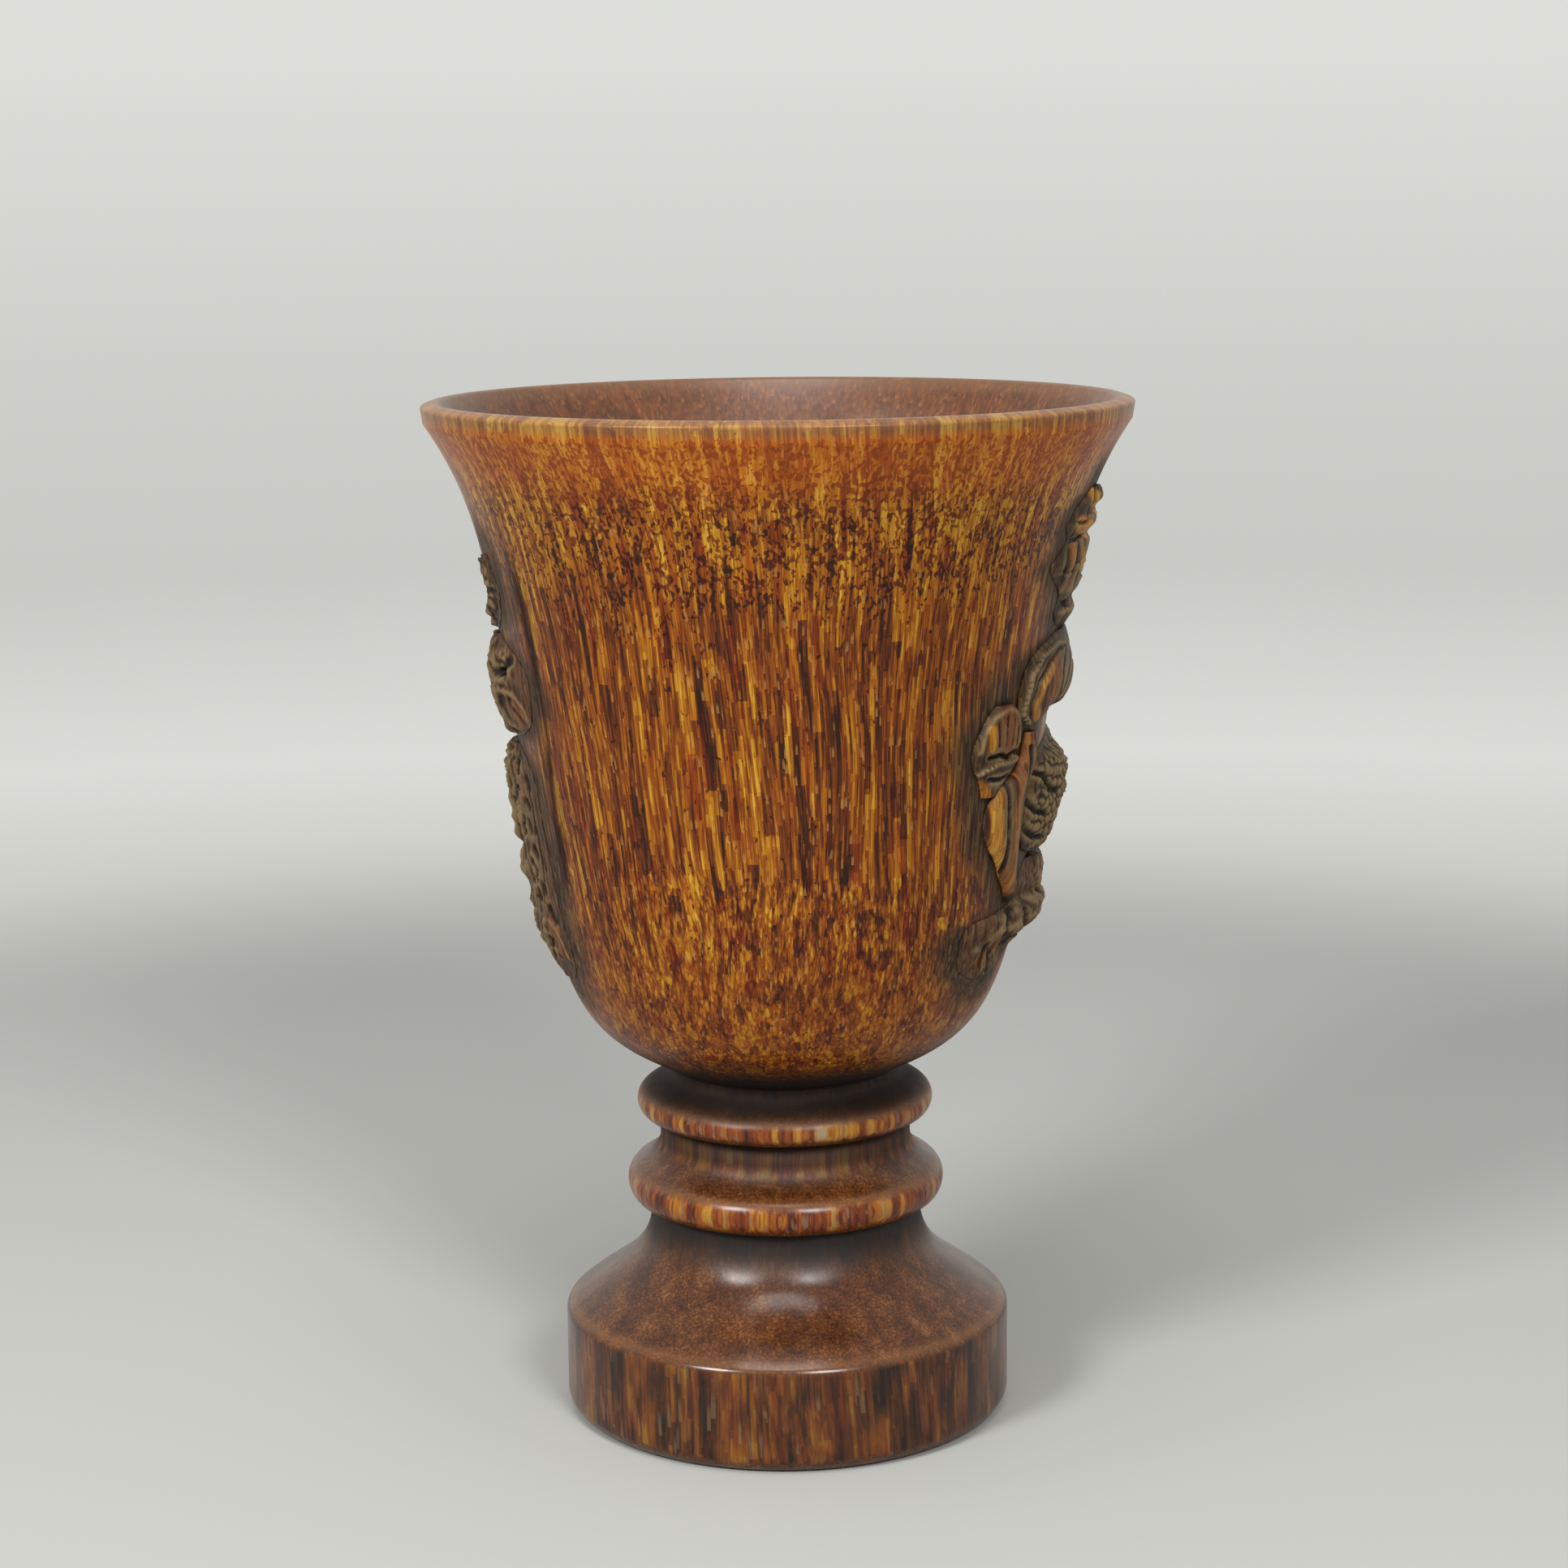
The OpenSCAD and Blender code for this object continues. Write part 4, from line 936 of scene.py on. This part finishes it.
        # dirt and painted shade in the seams and the cup, a pale painted highlight on what stands highest
        marks = dict(grime=grime, pale=0.5 * np.clip(out / thick, 0, 1) ** 2, warm=0 * out + tint)
        self.island(angle, h0 + reach * np.sin(turn), out, marks, discFaces)

    def make(self, name, node):
        marks = {key: np.concatenate(values) for key, values in self.marks.items()}
        solid(name, np.vstack(self.points), self.faces, marks, [hornCarved], node)


right, left = 1, -1

# right side: jointed stalk with its leaves
stalk = Relief(right)
stalk.mass("bambooStalk", culms, seed=11, ragged=0.15, lines=[
    ("cut", [(20.5, 117.4), (16, 117.2)], 0.20, 0.5),
    ("cut", [(24, 115.1), (19, 115.2), (15, 115.5)], 0.20, 0.5),
    ("cut", [(21, 106.9), (15, 107.0)], 0.4, 0.8),
    ("warm", [(17, 120.8), (13, 119.4), (10, 118.6)], 1.3, 0.92),
    ("warm", [(20, 117.2), (15, 116.4), (10, 115.6)], 1.4, 0.92),
    ("warm", [(20.6, 114.4), (20, 112), (19, 110)], 0.9, 0.70),
    ("warm", [(13.6, 113.8), (12.6, 111.4)], 0.9, 0.80),
    ("ridge", [(20, 109.4), (16, 108.6)], 0.9, 0.35),
    ("warm", [(20, 109.6)], 1.0, 0.40)])
for i, path in enumerate((
        [(0, 118.4), (-7, 119.0), (-13, 117.4)], [(0, 116.6), (-6, 115.8), (-11.4, 112.8)],
        [(0, 113.4), (-4, 111.6), (-8.4, 107.8)], [(0, 110.0), (-3, 107.0), (-5, 103.6)],
        [(0, 115.2), (-3, 112.8), (-4, 109.4)])):
    stalk.strip(path, widths=[0.8, 2.3, 0.3], lift=[0.6, 0.5, 0.3], thick=0.6, seed=12 + i,
                tint=0.22, vein=0.16)
stalk.make("bambooStalk", "bamboo_stalk")

cap = Relief(right)
rim = [(15, 102.0), (20, 102.3), (27.0, 101.2), (30.6, 99.2), (31.8, 96.5), (32.2, 94.2), (30, 92.9)]
cap.mass("fungusCap", smoothSkin, seed=21, ragged=0.15, lines=[
    ("ridge", rim, 0.50, 0.28), ("beads", rim, 0.42, 0.30),
    ("cut", [(12.5, 101.8), (19, 101.4), (24.6, 100.0), (28.2, 98.2), (29.6, 95.8), (29.4, 93.4)], 0.20, 0.5),
    ("ridge", [(24.4, 98.8), (27.2, 97), (28, 94.6)], 0.28, 0.2),
    ("warm", [(22.6, 99.6), (26.4, 97.6), (27.6, 95.4), (27.4, 93.6)], 0.9, 0.80),
    ("warm", [(20, 99.8), (22, 97.6), (22, 95.4)], 1.9, 0.46),
    ("cut", [(13.6, 101.2), (17.4, 99), (18.4, 96.6), (17, 94.6)], 0.24, 0.5),
    ("rings", [(4, 92.6)], 1.6, 0.30), ("warm", [(4, 95)], 4.0, 0.30),
    ("hollow", [(20, 94.0), (16, 93.6)], 1.2, 0.6), ("cut", [(21, 93.6), (15, 93.4)], 0.5, 0.6)])
cap.make("fungusCap", "fungus_cap")

oval = Relief(right)
ovalRim = [(45.6, 90.6), (44.6, 93.0), (42.2, 94.8), (38.4, 95.6), (35.2, 95.0), (33.2, 93.4), (32.4, 91.0)]
oval.mass("sideLeaf", smoothSkin, seed=31, ragged=0.12, lines=[
    ("ridge", ovalRim, 0.34, 0.14),
    ("hollow", [(38.4, 94.0), (37.4, 91.2)], 1.7, 0.45),
    ("warm", [(38.0, 94.2), (37.0, 91.0)], 2.7, 0.36),
    ("warm", [(43.2, 93.4), (43.0, 91.0)], 0.8, 0.85),
    ("cut", [(41.4, 94.0), (41.0, 91.2)], 0.16, 0.35), ("cut", [(38.6, 94.6), (38.0, 91.0)], 0.14, 0.3),
    ("cut", [(36.0, 94.2), (35.6, 91.0)], 0.14, 0.3), ("cut", [(33.9, 93.0), (33.6, 90.8)], 0.2, 0.4),
    ("cut", [(42.9, 89.8), (39.4, 89.9), (36.9, 89.4), (34.3, 89.9), (31.8, 89.6)], 0.24, 0.8),
    ("ridge", [(46.5, 87.2), (43.9, 88.2), (40.7, 88.8), (36.9, 88.7), (32.4, 88.9)], 0.42, 0.35),
    ("beads", [(46.0, 87.4), (43.9, 88.2), (40.7, 88.8), (36.9, 88.7), (33.4, 88.8)], 0.36, 0.14),
    ("cut", [(42.2, 87.0), (39.0, 86.8), (36.4, 87.1)], 0.24, 0.7),
    ("warm", [(44.2, 86.4), (42.0, 84.8)], 1.0, 0.60)])
oval.make("sideLeaf", "side_leaf")

blade = Relief(right)
bandLine = [(27.4, 93.2), (29.2, 90.4), (30.8, 87.5), (31.2, 84), (31.2, 80.5), (31, 77.5), (30.4, 74.5),
            (29, 71.6)]
blade.mass("longLeaf", smoothSkin, seed=41, ragged=0.1, lines=[
    ("warm", bandLine, 1.2, 0.52),
    ("ridge", bandLine, 0.6, 0.22),
    ("warm", [(37.6, 86.0), (38.6, 83), (38.0, 80), (36.2, 76.5), (33.6, 73.8)], 1.25, 0.9),
    ("ridge", [(38.0, 86.4), (39.2, 83), (38.6, 80), (36.6, 76.5), (34.0, 73.8)], 0.38, 0.26),
    ("cut", [(34.6, 88.2), (35.0, 85), (34.8, 82), (34.2, 79), (33.4, 76), (32.2, 73.4)], 0.22, 0.65),
    ("cut", [(27.8, 90), (28.2, 86), (28.4, 82), (28.6, 78), (28.2, 74)], 0.20, 0.5)])
blade.make("longLeaf", "long_leaf")

trunk = Relief(right)
trunk.mass("pineTrunk", bark, seed=51, ragged=0.35, lines=[
    ("cut", [(21, 89.5), (16, 89.2), (11, 89.7)], 0.32, 0.7),
    ("cut", [(23, 86.4), (18.5, 85.3), (15, 83.2), (11, 82.8)], 0.34, 0.7),
    ("cut", [(23.5, 82.6), (19.5, 80.8), (16, 80.2)], 0.36, 0.7),
    ("cut", [(23, 79.2), (18.5, 77.4), (13.6, 76.9)], 0.36, 0.7),
    ("ridge", [(4, 86), (6.5, 84.4), (5.4, 82), (2, 81.4), (-0.6, 83.2), (0.6, 85.6), (4, 86)], 0.4, 0.4),
    ("cut", [(3, 84), (2.6, 83.4)], 0.8, 0.8),
    ("cut", [(-12, 88), (-15, 82), (-14, 76)], 0.3, 0.6),
    ("cut", [(-4, 90), (-9, 84), (-8, 78)], 0.26, 0.5)])
for path in ([(-26, 94), (-34, 94.6), (-41, 95.6)], [(-27, 100.6), (-33, 101.6), (-39, 103.4)],
             [(-20, 106.6), (-26, 108.4), (-32, 110.3)], [(-36, 103.8), (-43, 105.6), (-49, 106.9)],
             [(-13, 110.6), (-14, 113.4), (-14, 116)], [(-16, 111), (-22, 113.6), (-27, 116.6)]):
    trunk.strip(path, widths=[2.0, 1.5, 1.1], lift=[0.4, 0.4, 0.3], thick=0.7, seed=52)
trunk.make("pineTrunk", "pine_trunk")

needles = Relief(right)
for i, place in enumerate(tufts):
    needles.rosette(place, petals=9, scallop=0.16, thick=1.22, kind="needles", seed=61 + i, tint=0.20)
needles.make("pineNeedles", "pine_needles")

ledge = Relief(right)
ledge.mass("rockLedge", rock, seed=71, ragged=0.4, tint=0.06, melt=0.5, lines=[
    ("ridge", [(12.7, 66.9), (22, 66.4), (30, 66.2), (38, 64.6)], 0.6, 0.22),
    ("cut", [(18, 65.6), (24, 65.0), (29, 64.2)], 0.3, 0.35),
    ("cut", [(26, 67.8), (24, 69.2), (21, 70.6)], 0.35, 0.5),
    ("warm", [(31, 64.6), (37, 62.6)], 1.8, 0.16),
    ("cut", [(34, 65.0), (31, 62.4), (30, 61)], 0.28, 0.3)])
ledge.make("rockLedge", "rock_ledge")
print("right side carved")

# left side: twig, curled spray, branch with blossoms, standing rock
twig = Relief(left)
twig.mass("plumTwig", bark, seed=81, ragged=0.3, melt=0.7, lines=[
    ("beads", [(15.5, 108.2), (15.4, 107.6)], 0.75, 0.5),
    ("beads", [(11.5, 106.8), (11.6, 106.2)], 0.75, 0.45),
    ("beads", [(8.5, 104.2), (9.4, 103.4)], 0.8, 0.4),
    ("cut", [(14, 109.6), (18, 109.4)], 0.3, 0.4),
    ("cut", [(9, 105.6), (15, 105.2)], 0.3, 0.4)])
twig.make("plumTwig", "plum_twig")

spray = Relief(left)
spray.mass("plumSpray", rock, seed=91, ragged=0.35, tint=0.12, melt=0.55, lines=[
    ("cut", [(7, 99.4), (11, 98.6), (15, 98.9), (18.6, 100.2), (21, 101)], 0.55, 0.9),
    ("cut", [(8, 97.2), (10, 96.2)], 0.6, 0.6),
    ("ridge", [(14, 99.8), (19, 99.6), (22, 100.8)], 0.40, 0.25),
    ("ridge", [(10, 96), (15, 96.6), (20, 96.4), (24, 94.8), (25, 92.4)], 0.34, 0.30),
    ("cut", [(13, 91.4), (18, 91.0), (22, 91.6), (25, 93)], 0.3, 0.7),
    ("cut", [(17.5, 95.6), (20.6, 93.6), (23, 92.2)], 0.24, 0.4),
    ("cut", [(4, 95.6), (8, 93.2), (12.5, 91.8)], 0.26, 0.45),
    ("warm", [(21.4, 95), (20.6, 93)], 1.3, 0.42),
    ("warm", [(21, 103), (22.6, 101.8)], 0.9, 0.6),
    ("cut", [(-2, 101), (-5, 97), (-4, 93)], 0.3, 0.5),
    ("ridge", [(-6, 100), (-9, 96.4), (-7, 93)], 0.5, 0.3)])
spray.make("plumSpray", "plum_spray")

branch = Relief(left)
branch.mass("plumBranch", bark, seed=101, ragged=0.3, lines=[
    ("beads", [(-19, 100), (-18.6, 99.2)], 0.8, 0.4),
    ("cut", [(-25, 96), (-18, 96.4)], 0.3, 0.5), ("cut", [(-18, 104), (-12, 104.4)], 0.3, 0.4)])
for path in ([(-22, 98), (-28, 101), (-32, 101.6)], [(-14, 105), (-19, 107.6), (-24, 108.4)],
             [(-4, 109.6), (-8, 112), (-11, 114)]):
    branch.strip(path, widths=[1.3, 1.0, 0.8], lift=[0.4, 0.35, 0.3], thick=0.5, seed=102)
branch.make("plumBranch", "plum_branch")

flowers = Relief(left)
for i, place in enumerate(blossoms):
    flowers.rosette(place, petals=5, scallop=0.3, thick=1.43, kind="petals", seed=111 + i, tint=0.22)
flowers.make("plumBlossoms", "plum_blossoms")

boulder = Relief(left)
pits = [(7.5, 88.2), (10.6, 87), (6.6, 83.2), (9.2, 80.4), (8.6, 78.6), (7.4, 76.4), (9, 72.4), (12, 70.2),
        (13, 88.8), (14.4, 82.2), (13, 79.2), (15, 76), (12.4, 74), (16, 71.4), (18.6, 68.6), (16.4, 85.2),
        (4, 86.6), (3, 80)]
boulder.mass("gardenRock", rock, seed=121, ragged=0.45, tint=0.06, melt=0.6, lines=[
    ("cut", [pit, (pit[0] + 0.8, pit[1] - 0.6)], 0.60, 0.85) for pit in pits] + [
    ("cut", [(17.6, 68.3), (20, 67.1), (24, 67.8)], 0.36, 0.8),
    ("cut", [(-2, 86), (-5, 82.6), (-3, 79.6)], 0.7, 1.1), ("cut", [(-10, 82), (-12, 79)], 0.8, 1.0),
    ("cut", [(3, 76.4), (-1, 73.6), (1, 71)], 0.7, 1.1), ("cut", [(-8, 75.4), (-10, 72.6)], 0.6, 0.9),
    ("cut", [(6, 68.4), (2, 66.6)], 0.7, 0.9), ("ridge", [(0, 84), (-1, 78), (4, 72)], 0.8, 0.5),
    ("ridge", [(-7, 84), (-9, 78), (-5, 73)], 0.9, 0.5),
    ("ridge", [(17, 66.8), (20, 66.0), (22.6, 64.4), (23.4, 62.6)], 0.34, 0.28),
    ("cut", [(14, 88), (16.6, 85.4), (18, 81.4), (17, 78.4)], 0.26, 0.5),
    ("cut", [(20.6, 86), (21.4, 80), (20.8, 74)], 0.28, 0.45),
    ("cut", [(17.8, 80), (18.8, 75), (18, 70)], 0.26, 0.45),
    ("warm", [(12.6, 85.4), (14.4, 83)], 1.4, 0.30), ("warm", [(18, 66.4), (21, 63.4)], 1.4, 0.34),
    ("warm", [(18, 70.6), (20, 66)], 1.6, 0.30)])
boulder.make("gardenRock", "garden_rock")
print("left side carved")


# room: a pale sheet that fades into an even backdrop, soft lamps in front, a dark room behind the camera
sheet = dict(radius=420.0, fadeFrom=250.0, fadeTo=400.0, rings=12, turns=96, colour=tone(180, 181, 177),
             speckColour=tone(176, 174, 168), speckScale=900.0, speckShare=0.06, rough=0.8, gloss=0.2)
w = np.radians(np.arange(sheet["turns"]) * 360 / sheet["turns"])
reaches = np.linspace(sheet["radius"] / sheet["rings"], sheet["radius"], sheet["rings"])
sheetPoints = np.vstack([[0, 0, 0]] + [np.stack([r * np.cos(w), r * np.sin(w), 0 * w], 1) for r in reaches])
number, following, fan = ringsOf(sheet["rings"], sheet["turns"])
quads = np.stack([number[:-1], number[1:], following[1:], following[:-1]], 2).reshape(-1, 4)
sheetMesh = bpy.data.meshes.new("paleSheet")
sheetMesh.from_pydata((sheetPoints * mm).tolist(), [], [face[::-1] for face in fan] + quads.tolist())
ground = bpy.data.objects.new("paleSheet", sheetMesh)
bpy.context.scene.collection.objects.link(ground)

paper = Nodes(bpy.data.materials.new("palePaper"))
spot = paper.add("TexCoord").outputs["Object"]
fade = paper.between(paper.length(spot), sheet["fadeFrom"] * mm, sheet["fadeTo"] * mm)
speck = paper.times(paper.noise(spot, 3.0, scale=sheet["speckScale"]), sheet["speckShare"])
paperShader = paper.add("BsdfPrincipled", None,
                        Base_Color=paper.blend(speck, sheet["colour"], sheet["speckColour"]))
paperShader.inputs["Roughness"].default_value = sheet["rough"]
paperShader.inputs["Specular IOR Level"].default_value = sheet["gloss"]
clear = paper.add("BsdfTransparent")
fading = paper.add("MixShader", None, i0=fade, i1=paperShader.outputs[0], i2=clear.outputs[0])
paper.feed(paper.output.inputs[0], fading.outputs[0])
sheetMesh.materials.append(paper.owner)

# azimuth from straight in front, positive to the right; every lamp looks at the middle of the cup
lampDistance, lampAim = 800, Vector((0, 0, 60 * mm))
lamps = dict(leftLamp=dict(azimuth=-41, elevation=33, size=230, power=4.6),
             rightLamp=dict(azimuth=21, elevation=33, size=230, power=3.6),
             topLamp=dict(azimuth=-8, elevation=74, size=420, power=2.0))
for name, s in lamps.items():
    data = bpy.data.lights.new(name, "AREA")
    data.shape = "DISK"
    data.size = s["size"] * mm
    data.energy = s["power"]
    a, e = math.radians(s["azimuth"]), math.radians(s["elevation"])
    away = Vector((math.sin(a) * math.cos(e), -math.cos(a) * math.cos(e), math.sin(e)))
    lamp = bpy.data.objects.new(name, data)
    lamp.location = away * lampDistance * mm + lampAim
    lamp.rotation_euler = away.to_track_quat("Z", "Y").to_euler()
    bpy.context.scene.collection.objects.link(lamp)

world = bpy.data.worlds.new("room")
bpy.context.scene.world = world
room = Nodes(world, "OutputWorld")
way = room.split(room.add("TexCoord").outputs["Generated"])
# what the lens sees beyond the sheet: even pale paper, with painted light a little brighter where it bends up
seen = room.ramp(room.times(way[2], 1.5, 0.5), [
    (0.10, 205, 205, 200), (0.205, 208, 208, 203), (0.245, 220, 221, 216), (0.33, 200, 201, 196),
    (0.42, 206, 207, 202), (0.56, 221, 222, 217), (1.0, 224, 225, 220)])
# what lights the cup: paper round the back, dark in front, a bright ceiling
behind = room.between(way[1], -0.45, 0.5, 0.05, 0.36)
ceiling = room.between(way[2], 0.35, 0.95, 0.0, 0.30)
path = room.add("LightPath").outputs
paleFor = room.most(path["Is Camera Ray"], room.most(path["Is Glossy Ray"], path["Is Transmission Ray"]))
lit = room.add("Background", None, Color=(1.0, 0.99, 0.97, 1), Strength=room.plus(behind, ceiling))
shown = room.add("Background", None, Color=seen, Strength=1.0)
either = room.add("MixShader", None, i0=paleFor, i1=lit.outputs[0], i2=shown.outputs[0])
room.feed(room.output.inputs[0], either.outputs[0])
bpy.context.scene.view_settings.view_transform = "Standard"
print("room lit")
